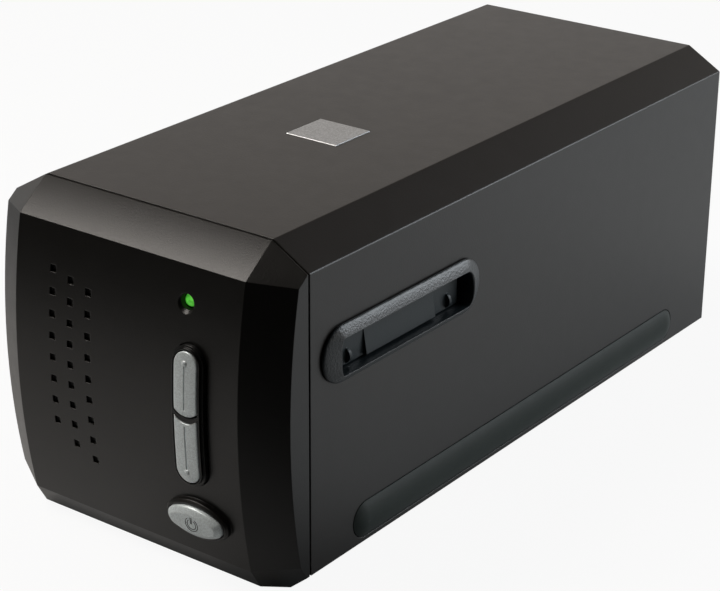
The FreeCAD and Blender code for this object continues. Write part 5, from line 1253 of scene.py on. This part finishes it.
@dataclass
class PowerButton:
    """Oval power button with a broad bevel, rounded edges and an outlined sign.

    Attributes:
        face: the front face that it stands on.
        middle_x: where its middle lies across the face.
        middle_z: where it lies up the face.
        width: its width.
        tall: its height.
        end_share: radius of the oval's ends, as a share of half its height.
        proud: how far it stands out of the face.
        bevel: width of the bevel.
        bevel_rise: its rise.
        skirt_depth: how far its skirt reaches in.
        flange: how far the flange stands out of the skirt.
        flange_thickness: its thickness.
        edge_round: radius of its edges.
        shoulder_turn: how far in and down the shoulder's middle lies, in edge radii.
        crease_drop: how far the bevel's upper end lies below the top, in edge radii.
        flat_run: how far the ring on the flat top lies in from there, in edge radii.
        mark_radius: radius of the sign's ring.
        mark_spread: how far the ring's two outlines lie from it, as a share.
        mark_opening: half the angle of the ring's opening.
        mark_steps: steps around the ring.
        mark_wire: radius of the sign's outlines.
        mark_gap: from the bar's middle to its outlines.
        mark_top: height of the bar's upper end.
        mark_bar: its length.
        bar_steps: steps along it.
        stem_radius: radius of the stem.
    """

    face: FrontFace = field(default_factory=FrontFace)
    middle_x: float = 0.0284
    middle_z: float = 0.0229
    width: float = 0.0218
    tall: float = 0.0106
    end_share: float = 0.62
    proud: float = 0.0044
    bevel: float = 0.0019
    bevel_rise: float = 0.0013
    skirt_depth: float = 0.0036
    flange: float = 0.0012
    flange_thickness: float = 0.0010
    edge_round: float = 0.0003
    shoulder_turn: Point = (0.35, 0.15)
    crease_drop: float = 0.05
    flat_run: float = 3.0
    mark_radius: float = 0.0021
    mark_spread: float = 0.18
    mark_opening: float = 0.62
    mark_steps: int = 40
    mark_wire: float = 0.000112
    mark_gap: float = 0.000224
    mark_top: float = 0.002625
    mark_bar: float = 0.0024
    bar_steps: int = 4
    stem_radius: float = 0.0016

    def place(self) -> Matrix:
        """Place of the button.

        Returns:
            A frame whose Z points out of the front face and whose X runs across it.
        """
        out = self.face.out(self.middle_z)
        across = Vector((1, 0, 0))
        turn = Matrix((across, out.cross(across), out)).transposed().to_4x4()
        return Matrix.Translation(Vector((self.middle_x, self.face.y(self.middle_z), self.middle_z))) @ turn

    def ring(self, place: Matrix, inset: float, height: float) -> Ring:
        """One oval ring of the cap.

        Args:
            place: the button's frame.
            inset: how far the ring is drawn in.
            height: its height over the front face.

        Returns:
            The ring.
        """
        outline = Outline.oval(self.width - 2 * inset, self.tall - 2 * inset, self.end_share)
        return [place @ Vector((u, v, height)) for u, v in outline.points(line_steps=1, arc_steps=24)]

    def steps(self) -> list[Point]:
        """Section of the cap.

        Returns:
            Pairs of inset and height, from the flange to the flat top.
        """
        slope, soft = self.bevel_rise / self.bevel, self.edge_round
        shoulder, flange_top = self.proud - self.bevel_rise, -self.skirt_depth + self.flange_thickness
        inset, drop = (share * soft for share in self.shoulder_turn)
        return [
            (-self.flange, -self.skirt_depth), (-self.flange, flange_top), (0.0, flange_top),
            (0.0, shoulder - soft), (inset, shoulder - drop), (soft, shoulder + soft * slope),
            (self.bevel - soft, self.proud - soft * slope),
            (self.bevel, self.proud - self.crease_drop * soft),
            (self.bevel + soft, self.proud), (self.bevel + self.flat_run * soft, self.proud),
        ]

    def build(self, wardrobe: Wardrobe) -> bpy.types.Object:
        """Builds and dresses the button.

        Args:
            wardrobe: the finishes.

        Returns:
            The piece.
        """
        place = self.place()
        maker = MeshMaker("power_cap")
        maker.loft([self.ring(place, inset, height) for inset, height in self.steps()], start_cap=True,
                   end_cap=True)
        start = self.face.y(self.middle_z) + self.skirt_depth - self.flange_thickness
        maker.stem(Vector((self.middle_x, start, self.middle_z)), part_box("power_button")[1].y - start,
                   self.stem_radius)
        piece = maker.piece(smooth_angle=24)
        wardrobe.dress(piece, "key_silver")
        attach(piece, "power_key")
        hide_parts("power_button")
        return piece

    def build_sign(self, wardrobe: Wardrobe) -> bpy.types.Object:
        """Builds the fine outlined on and off sign on the cap.

        Args:
            wardrobe: the finishes.

        Returns:
            The piece.
        """
        place = self.place()
        start, sweep = math.pi / 2 + self.mark_opening, math.tau - 2 * self.mark_opening
        angles = [start + sweep * k / self.mark_steps for k in range(self.mark_steps + 1)]
        radii = [self.mark_radius * (1 + turn * self.mark_spread) for turn in (1, -1)]
        lines = [[(radius * math.cos(a), radius * math.sin(a)) for a in angles] for radius in radii]
        levels = [self.mark_top - self.mark_bar * k / self.bar_steps for k in range(self.bar_steps + 1)]
        lines += [[(shift, level) for level in levels] for shift in (-self.mark_gap, self.mark_gap)]
        maker = MeshMaker("power_sign")
        for line in lines:
            maker.tube([place @ Vector((u, v, self.proud)) for u, v in line], self.mark_wire, count=8)
        piece = maker.piece(smooth_angle=60)
        wardrobe.dress(piece, "trim_black")
        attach(piece, "power_key")
        return piece


@dataclass
class StatusLamp:
    """Round lamp with a domed lens, its collar and two leads.

    Attributes:
        radius: radius of the lens and of its dome.
        dome_steps: steps up the dome.
        collar_radius: radius of the collar.
        collar: its thickness.
        lead_radius: radius of a lead.
        lead_pitch: spacing of the leads.
        lead_hold: how far the leads start inside the lamp.
    """

    radius: float = 0.00225
    dome_steps: int = 10
    collar_radius: float = 0.0027
    collar: float = 0.0010
    lead_radius: float = 0.0003
    lead_pitch: float = 0.00254
    lead_hold: float = 0.0002

    def build(self, wardrobe: Wardrobe) -> bpy.types.Object:
        """Builds and dresses the lamp.

        Args:
            wardrobe: the finishes.

        Returns:
            The piece.
        """
        low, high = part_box("status_lamp")
        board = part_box("button_board")[0].y
        middle = (low + high) / 2
        waist = board - low.y - self.radius
        profile = [(self.collar_radius, 0.0), (self.collar_radius, self.collar), (self.radius, self.collar),
                   (self.radius, waist)]
        for step in range(1, self.dome_steps + 1):
            angle = math.pi / 2 * step / self.dome_steps
            profile.append((self.radius * math.cos(angle), waist + self.radius * math.sin(angle)))
        maker = MeshMaker("lamp_lens")
        maker.lathe(profile, aimed(Vector((middle.x, board, middle.z)), Vector((0, -1, 0))), count=40)
        for side in (-0.5, 0.5):
            x = middle.x + side * self.lead_pitch
            maker.tube([Vector((x, board - self.lead_hold, middle.z)), Vector((x, high.y, middle.z))],
                       self.lead_radius, count=10)
        piece = maker.piece(smooth_angle=35)
        wardrobe.dress(piece, "lamp_green")
        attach(piece, "case")
        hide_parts("status_lamp")
        return piece


@dataclass
class FixingScrews:
    """All the screws: domed heads with a cross recess, and threaded shanks.

    Attributes:
        head_radius: radius of the head.
        head_height: its height.
        head_wall: share of that which is upright.
        head_seat: radius of the head's seat, as a share of the head's.
        head_chamfer: height of the chamfer under the head.
        dome_angles: where the head's dome has its rings.
        shank_radius: radius over the threads.
        shank_neck: radius under the head, as a share of that.
        shank_tip: radius of the tip, as a share of it.
        thread_root: radius between the threads, as a share of it.
        head_least: radius that only the head reaches, as a share of it.
        length: length under the head.
        tip_run: plain length at the tip.
        neck_run: plain length under the head.
        threads: number of threads.
        recess_reach: half the length of the cross.
        recess_width: width of its arms.
        recess_depth: its depth.
        recess_floor: size of the cross at its floor, as a share.
        recess_mouth: its size at the head's top, and the height of that, as shares.
        recess_above: the same well above the head.
    """

    head_radius: float = 0.0027
    head_height: float = 0.0014
    head_wall: float = 0.45
    head_seat: float = 0.96
    head_chamfer: float = 0.00012
    dome_angles: tuple[float, ...] = (0.25, 0.55, 0.85, 1.15, 1.4)
    shank_radius: float = 0.0014
    shank_neck: float = 0.8
    shank_tip: float = 0.45
    thread_root: float = 0.78
    head_least: float = 1.4
    length: float = 0.0070
    tip_run: float = 0.0003
    neck_run: float = 0.0001
    threads: int = 9
    recess_reach: float = 0.0015
    recess_width: float = 0.0006
    recess_depth: float = 0.0008
    recess_floor: float = 0.55
    recess_mouth: Span = (1.0, 1.02)
    recess_above: Span = (1.1, 1.5)

    def places(self) -> list[Matrix]:
        """Place of each screw, read from the loose bodies of the CAD node.

        Returns:
            Frames whose origin is the head's seat and whose Z points out of the head.
        """
        mesh = bmesh.new()
        mesh.from_mesh(frame["nodes"]["fixing_screws"].data)
        bmesh.ops.remove_doubles(mesh, verts=mesh.verts, dist=WELD)
        mesh.verts.ensure_lookup_table()
        seen: set[int] = set()
        found = []
        for start in mesh.verts:
            if start.index in seen:
                continue
            group, open_ends = [], [start]
            seen.add(start.index)
            while open_ends:
                here = open_ends.pop()
                group.append(here.co.copy())
                for edge in here.link_edges:
                    there = edge.other_vert(here)
                    if there.index not in seen:
                        seen.add(there.index)
                        open_ends.append(there)
            found.append(self.place_of(group))
        mesh.free()
        return found

    def place_of(self, points: list[Vector]) -> Matrix:
        """Frame of one screw.

        Args:
            points: all its points.

        Returns:
            A frame at the head's seat, with Z out of the head.
        """
        low = Vector(min(p[i] for p in points) for i in range(3))
        high = Vector(max(p[i] for p in points) for i in range(3))
        size, middle = high - low, (low + high) / 2
        axis = max(range(3), key=lambda i: size[i])
        across = [i for i in range(3) if i != axis]
        head = [p[axis] for p in points
                if math.hypot(*[p[i] - middle[i] for i in across]) > self.shank_radius * self.head_least]
        out = Vector((0, 0, 0))
        out[axis] = 1 if sum(head) / len(head) > middle[axis] else -1
        seat = middle.copy()
        seat[axis] = (high if out[axis] > 0 else low)[axis] - out[axis] * self.head_height
        return aimed(seat, out)

    def profile(self) -> list[Point]:
        """Section of a screw.

        Returns:
            Pairs of radius and height, from the tip to the top of the head.
        """
        made = [(0.0, -self.length), (self.shank_radius * self.shank_tip, -self.length)]
        pitch = (self.length - self.tip_run - self.neck_run) / self.threads
        for turn in range(self.threads):
            z = -self.length + self.tip_run + turn * pitch
            made += [(self.shank_radius * self.thread_root, z), (self.shank_radius, z + pitch / 2)]
        wall, dome = self.head_height * self.head_wall, self.head_height * (1 - self.head_wall)
        made += [(self.shank_radius * self.shank_neck, 0.0), (self.head_radius * self.head_seat, 0.0),
                 (self.head_radius, self.head_chamfer), (self.head_radius, wall)]
        made += [(self.head_radius * math.cos(a), wall + dome * math.sin(a)) for a in self.dome_angles]
        return made + [(0.0, self.head_height)]

    def template(self) -> bpy.types.Mesh:
        """One screw around the origin with its recess cut out.

        Returns:
            The finished mesh.
        """
        maker = MeshMaker("screw_blank")
        maker.lathe(self.profile(), Matrix.Identity(4), count=28)
        blank = maker.piece(smooth_angle=35)
        half, reach = self.recess_width / 2, self.recess_reach
        arm = [(half, reach), (half, half), (reach, half)]
        cross = [*arm, *[(x, -y) for x, y in arm[::-1]], *[(-x, -y) for x, y in arm],
                 *[(-x, y) for x, y in arm[::-1]]]
        levels = [(self.recess_floor, self.head_height - self.recess_depth)]
        for size, height in (self.recess_mouth, self.recess_above):
            levels.append((size, self.head_height * height))
        rings = [[Vector((x * size, y * size, z)) for x, y in cross] for size, z in levels]
        cutter = MeshMaker("recess_cutter")
        cutter.loft(rings, start_cap=True, end_cap=True)
        tool = cutter.piece(smooth_angle=35)
        cut = blank.modifiers.new("recess", "BOOLEAN")
        cut.object, cut.operation, cut.solver = tool, "DIFFERENCE", "EXACT"
        graph = bpy.context.evaluated_depsgraph_get()
        mesh = bpy.data.meshes.new_from_object(blank.evaluated_get(graph))
        for made in (blank, tool):
            bpy.data.objects.remove(made)
        return mesh

    def build(self, wardrobe: Wardrobe) -> bpy.types.Object:
        """Builds and dresses the set of screws.

        Args:
            wardrobe: the finishes.

        Returns:
            The piece.
        """
        template = self.template()
        maker = MeshMaker("screw_set")
        for place in self.places():
            count = len(maker.mesh.verts)
            maker.mesh.from_mesh(template)
            maker.mesh.verts.ensure_lookup_table()
            bmesh.ops.transform(maker.mesh, matrix=place, verts=maker.mesh.verts[count:])
        piece = maker.piece(smooth_angle=35, weld=FINE_WELD)
        wardrobe.dress(piece, "screw_steel")
        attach(piece, "case")
        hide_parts("fixing_screws")
        return piece


@dataclass
class SocketContacts:
    """Four gilt contacts in the data socket, in two rows.

    Attributes:
        width: width of a contact.
        height: its thickness.
        row: from the socket's middle to each row.
        column: from the socket's middle to each column.
        chamfer: size of the bevelled upper face, as a share.
        back: from the socket's mouth plane to the contact's root.
        shoulder: from there to where its tip starts to narrow.
        tip: from there to its tip.
        tip_share: size of the tip, as a share.
    """

    width: float = 0.0008
    height: float = 0.0003
    row: float = 0.0016
    column: float = 0.0013
    chamfer: float = 0.6
    back: float = 0.0075
    shoulder: float = 0.0028
    tip: float = 0.0024
    tip_share: float = 0.7

    def build(self, wardrobe: Wardrobe) -> bpy.types.Object:
        """Builds and dresses the contacts.

        Args:
            wardrobe: the finishes.

        Returns:
            The piece.
        """
        low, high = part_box("data_socket")
        middle = (low + high) / 2
        half, tall = self.width / 2, self.height / 2
        section = [(-half, -tall), (half, -tall), (half, tall * self.chamfer), (half * self.chamfer, tall),
                   (-half * self.chamfer, tall), (-half, tall * self.chamfer)]
        levels = [(1.0, high.y - self.back), (1.0, high.y - self.shoulder),
                  (self.tip_share, high.y - self.tip)]
        maker = MeshMaker("socket_contacts")
        for up, along in itertools.product((-1, 1), repeat=2):
            x, z = middle.x + along * self.column, middle.z + up * (self.row + tall)
            rings = [[Vector((x + u * size, y, z + v * size * up)) for u, v in section]
                     for size, y in levels]
            maker.loft(rings, start_cap=True, end_cap=True)
        piece = maker.piece(smooth_angle=35)
        wardrobe.dress(piece, "brass_gear")
        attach(piece, "case")
        return piece


@dataclass
class CoilSpring:
    """A torsion spring wound around a pin, with one leg.

    Attributes:
        name: the piece's name.
        centre: middle of the coil.
        axis: direction that it is wound along.
        radius: radius to the wire's middle.
        wire: thickness of the wire.
        length: length between the middles of its end turns.
        turns: number of turns.
        leg: from the coil's first end to the leg's tip.
        turn_steps: steps around each turn.
        leg_steps: steps along the leg.
    """

    name: str
    centre: Vector
    axis: Vector
    radius: float
    wire: float
    length: float
    turns: int
    leg: Vector
    turn_steps: int = 18
    leg_steps: int = 5

    def build(self, wardrobe: Wardrobe) -> bpy.types.Object:
        """Builds and dresses the spring.

        Args:
            wardrobe: the finishes.

        Returns:
            The piece.
        """
        along = self.axis.normalized()
        out = (self.leg - along * self.leg.dot(along)).normalized()
        side = along.cross(out)
        coil = []
        steps = self.turns * self.turn_steps
        for k in range(steps + 1):
            angle = math.tau * self.turns * k / steps - math.pi / 2
            coil.append(self.centre + along * (self.length * (k / steps - 0.5))
                        + out * (self.radius * math.cos(angle)) + side * (self.radius * math.sin(angle)))
        leg = [coil[0] + self.leg * (1 - k / self.leg_steps) for k in range(self.leg_steps)]
        maker = MeshMaker(self.name)
        maker.tube(leg + coil, self.wire / 2, count=8)
        piece = maker.piece(smooth_angle=60)
        wardrobe.dress(piece, "spring_steel")
        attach(piece, "case")
        return piece


@dataclass(frozen=True)
class SoftLamp:
    """One soft lamp of the studio.

    Attributes:
        name: its name.
        place: where it stands.
        size: its width and height.
        power: its power in watts.
        colour: its colour.
        aim: the point that it faces.
    """

    name: str
    place: Place
    size: Span
    power: float
    colour: Colour
    aim: Place = (0.0, 0.0, 0.05)

    def build(self) -> None:
        """Builds the lamp and turns it to its aim."""
        data = bpy.data.lights.new(self.name, "AREA")
        data.shape = "RECTANGLE"
        data.size, data.size_y = self.size
        data.energy = self.power
        data.color = self.colour
        made = bpy.data.objects.new(self.name, data)
        made.location = self.place
        made.rotation_euler = (Vector(self.aim) - Vector(self.place)).to_track_quat("-Z", "Y").to_euler()
        bpy.context.scene.collection.objects.link(made)


@dataclass
class Studio:
    """Pale floor, a pale wall of light behind, a darker room in front, and soft lamps.

    The camera sees all of it white. What lights the object and shows in its gloss is graded, so that the
    gloss keeps the contrast between the case's facets.

    Attributes:
        floor_half: half the floor's width.
        floor_steps: faces along it.
        floor_colour: colour of its paint.
        back_light: light of the room behind.
        front_light: light of the room in front.
        depth_range: where the room turns from front to back, along Y.
        zenith_share: light overhead, as a share of that near the floor.
        height_range: where the room turns from low to high, along Z.
        low_tint: colour of the room near the floor.
        high_tint: its colour overhead.
        tint_range: where one turns into the other.
        white_share: how far the floor's own white covers its shadow, as the camera sees it.
        gloss_share: how bright the floor's white is in gloss, a painted glow that the object reflects.
        side_share: how much of that the floor beside the object has.
        fore_share: how much of it the floor in front of the object has.
        light_pool_range: the distance over which the painted pool of light around the object fades.
        light_pool_edge: the paint's brightness beyond it, painted shade.
        right_range: where the painted pool of light ends at the right, along X.
        back_range: where the pale floor behind begins, along Y.
        beside_range: where the pale floor beside begins, along X.
        beside_start: where it begins along Y.
        lamps: the soft lamps.
    """

    floor_half: float = 6.0
    floor_steps: int = 12
    floor_colour: Colour = (0.86, 0.86, 0.86)
    back_light: float = 1.0
    front_light: float = 0.02
    depth_range: Span = (-0.25, 0.45)
    zenith_share: float = 0.05
    height_range: Span = (0.16, 0.56)
    low_tint: Colour = (0.94, 0.98, 1.0)
    high_tint: Colour = (1.0, 0.88, 0.78)
    tint_range: Span = (0.05, 0.35)
    white_share: float = 0.92
    gloss_share: float = 0.50
    side_share: float = 0.80
    fore_share: float = 0.25
    light_pool_range: Span = (0.10, 0.52)
    light_pool_edge: float = 0.03
    right_range: Span = (-0.02, 0.11)
    back_range: Span = (-0.14, 0.22)
    beside_range: Span = (0.04, 0.09)
    beside_start: Span = (-0.14, -0.05)
    lamps: tuple[SoftLamp, ...] = (
        SoftLamp("overhead", (-0.50, -0.36, 0.85), (0.55, 0.60), 7.2, (1.0, 0.94, 0.88)),
        SoftLamp("back_right", (0.66, 0.80, 0.56), (0.50, 0.50), 5.0, (0.86, 0.93, 1.0)),
    )

    def build_world(self) -> None:
        """Surroundings that are plain white where the camera looks past the object."""
        wires = Wiring(bpy.data.worlds.new("studio"))
        way = wires.node("ShaderNodeTexCoord").outputs["Generated"]
        parts = wires.node("ShaderNodeSeparateXYZ", Vector=way).outputs
        high = wires.spread(parts["Z"], self.height_range, (1.0, self.zenith_share))
        behind = wires.spread(parts["Y"], self.depth_range, (self.front_light, self.back_light))
        light = wires.math("MULTIPLY", high, behind)
        seen = self.seen(wires)[0]
        climb = wires.spread(parts["Z"], self.tint_range, (0.0, 1.0))
        colour = wires.tint(seen, wires.tint(climb, self.low_tint, self.high_tint), WHITE)
        strength = wires.math("MAXIMUM", light, seen)
        glow = wires.node("ShaderNodeBackground", Color=colour, Strength=strength)
        wires.finish(glow.outputs[0])
        bpy.context.scene.world = wires.owner

    def seen(self, wires: Wiring) -> tuple[bpy.types.NodeSocket, bpy.types.NodeSocket]:
        """What kind of ray meets a surface.

        Args:
            wires: the tree to wire.

        Returns:
            A number that is 1 for the camera and through glass, and one that is 1 in gloss.
        """
        path = wires.node("ShaderNodeLightPath").outputs
        seen = wires.math("MAXIMUM", path["Is Camera Ray"], path["Is Transmission Ray"])
        return seen, path["Is Glossy Ray"]

    def paint_floor(self) -> bpy.types.Material:
        """Floor paint that is white to the camera and graded for the light that it gives: a painted pool of
        light around the object, painted shade beyond it, pale paint behind and beside it, and a painted glow
        in gloss there.

        Returns:
            The material.
        """
        wires = Wiring(bpy.data.materials.new("studio_floor_paint"))
        where = wires.node("ShaderNodeSeparateXYZ", Vector=wires.place()).outputs
        reach = wires.node("ShaderNodeVectorMath", operation="LENGTH", Vector=wires.place()).outputs["Value"]
        # A painted pool of light on the floor: pale paint near the object, painted shade farther out and to
        # the right.
        light_pool = wires.math("MULTIPLY", wires.spread(reach, self.light_pool_range, (1.0, self.light_pool_edge)),
                          wires.spread(where["X"], self.right_range, (1.0, self.light_pool_edge)))
        beside = wires.math("MULTIPLY", wires.spread(where["X"], self.beside_range, (0.0, self.side_share)),
                            wires.spread(where["Y"], self.beside_start, (0.0, 1.0)))
        back = wires.math("MAXIMUM", wires.spread(where["Y"], self.back_range, (0.0, 1.0)), beside)
        seen, mirrored = self.seen(wires)
        pale = wires.math("MAXIMUM", wires.math("MAXIMUM", light_pool, back), seen)
        shaded_paint = shade(self.floor_colour, self.light_pool_edge)
        paint = wires.node("ShaderNodeBsdfDiffuse", Color=wires.tint(pale, shaded_paint, self.floor_colour))
        glow = wires.node("ShaderNodeEmission", Color=wires.tint(seen, self.low_tint, WHITE), Strength=1.0)
        # Where the floor glows in gloss: a painted glow behind and beside the object, which its facets
        # reflect.
        painted_gloss_glow = wires.math("MAXIMUM", back, wires.math("MULTIPLY", light_pool, self.fore_share))
        mirrored = wires.math("MULTIPLY", wires.math("MULTIPLY", mirrored, painted_gloss_glow), self.gloss_share)
        share = wires.math("MAXIMUM", wires.math("MULTIPLY", seen, self.white_share), mirrored)
        mix = wires.node("ShaderNodeMixShader")
        for plug, value in zip(mix.inputs, (share, paint.outputs[0], glow.outputs[0])):
            wires.feed(plug, value)
        wires.finish(mix.outputs[0])
        return wires.owner

    def build_floor(self) -> None:
        """Builds the wide pale floor that keeps the object's soft shadow."""
        maker = MeshMaker("studio_floor")
        marks = [self.floor_half * (2 * k / self.floor_steps - 1) for k in range(self.floor_steps + 1)]
        rows = [maker.ring(Vector((x, y, 0.0)) for x in marks) for y in marks]
        for first, second in zip(rows, rows[1:]):
            maker.bridge(first, second, closed=False)
        floor = maker.piece()
        floor.data.materials.append(self.paint_floor())

    def build(self) -> None:
        """Builds the surroundings, the floor and the lamps."""
        self.build_world()
        self.build_floor()
        for lamp in self.lamps:
            lamp.build()


@dataclass
class PhotoCamera:
    """Camera at the photograph's place and angle.

    Attributes:
        place: where it stands.
        right: direction of the picture's right.
        down: direction of its foot.
        ahead: direction that it looks along.
        lens: focal length in millimetres.
        sensor: width of its sensor in millimetres.
        near: nearest distance that it shows.
        far: farthest distance that it shows.
    """

    place: Place = (0.42207, -0.57287, 0.35319)
    right: Place = (0.79854, 0.60192, 0.00490)
    down: Place = (0.24204, -0.31362, -0.91818)
    ahead: Place = (-0.55113, 0.73439, -0.39613)
    lens: float = 107.727
    sensor: float = 36.0
    near: float = 0.01
    far: float = 50.0

    def build(self) -> None:
        """Builds the camera and makes it the scene's."""
        data = bpy.data.cameras.new("photo_camera")
        data.lens, data.sensor_width, data.sensor_fit = self.lens, self.sensor, "HORIZONTAL"
        data.clip_start, data.clip_end = self.near, self.far
        made = bpy.data.objects.new("photo_camera", data)
        right, down, ahead = (Vector(v) for v in (self.right, self.down, self.ahead))
        turn = Matrix((right, -down, -ahead)).transposed().to_4x4()
        made.matrix_world = Matrix.Translation(Vector(self.place)) @ turn
        bpy.context.scene.collection.objects.link(made)
        bpy.context.scene.camera = made


@dataclass
class Springs:
    """The torsion springs of the dust flaps and of the holder detent.

    Attributes:
        flap_radius: coil radius of a flap's spring.
        flap_wire: its wire.
        flap_length: its length.
        flap_turns: its turns.
        flap_leg: its leg's reach into the case.
        detent_radius: coil radius of the detent's spring.
        detent_wire: its wire.
        detent_turns: its turns.
        detent_leg: its leg's reach.
    """

    flap_radius: float = 0.00120
    flap_wire: float = 0.0005
    flap_length: float = 0.0042
    flap_turns: int = 8
    flap_leg: float = 0.0040
    detent_radius: float = 0.0021
    detent_wire: float = 0.0006
    detent_turns: int = 4
    detent_leg: float = 0.0118

    def flap_spring(self, side: Side) -> CoilSpring:
        """The spring of one flap, on the middle of its pin.

        Args:
            side: the flap's side of the case.

        Returns:
            The spring.
        """
        low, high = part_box("flap_pin_" + side.name.lower())
        spring_low, spring_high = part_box("flap_springs")
        centre = Vector(((low.x + high.x) / 2, (spring_low.y + spring_high.y) / 2, (low.z + high.z) / 2))
        return CoilSpring("flap_spring_" + side.name.lower(), centre, Vector((0, -side.value, 0)),
                          self.flap_radius, self.flap_wire, self.flap_length, self.flap_turns,
                          Vector((-side.value * self.flap_leg, 0, 0)))

    def detent_spring(self) -> CoilSpring:
        """The spring of the detent, in the corner of its node's box.

        Returns:
            The spring.
        """
        low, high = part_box("detent_spring")
        reach = self.detent_radius + self.detent_wire / 2
        centre = Vector((low.x + reach, low.y + reach, (low.z + high.z) / 2))
        length = high.z - low.z - self.detent_wire
        return CoilSpring("detent_coil", centre, Vector((0, 0, 1)), self.detent_radius, self.detent_wire,
                          length, self.detent_turns, Vector((self.detent_leg, 0, 0)))

    def build(self, wardrobe: Wardrobe) -> list[bpy.types.Object]:
        """Builds the springs.

        Args:
            wardrobe: the finishes.

        Returns:
            The pieces.
        """
        made = [self.flap_spring(side).build(wardrobe) for side in Side]
        made.append(self.detent_spring().build(wardrobe))
        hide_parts("flap_springs")
        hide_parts("detent_spring")
        return made


def main() -> None:
    """Builds the scene, piece by piece, and reports each."""
    logging.basicConfig(level=logging.INFO, format="%(message)s")
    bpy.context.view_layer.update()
    bpy.context.scene.view_settings.view_transform = "Standard"
    PhotoCamera().build()
    Studio().build()
    wardrobe = Wardrobe()
    wardrobe.dress_nodes(frame["nodes"])
    builders: list[Callable[[Wardrobe], Any]] = [SlotSurround(side).build for side in Side]
    builders += [ScanKey(end).build for end in KeyEnd]
    button = PowerButton()
    builders += [button.build, button.build_sign, StatusLamp().build, FixingScrews().build,
                 SocketContacts().build, Springs().build]
    for build in builders:
        made = build(wardrobe)
        for piece in made if isinstance(made, list) else [made]:
            LOG.info("piece %s: %d faces", piece.name, len(piece.data.polygons))


if __name__ == "__main__":
    main()
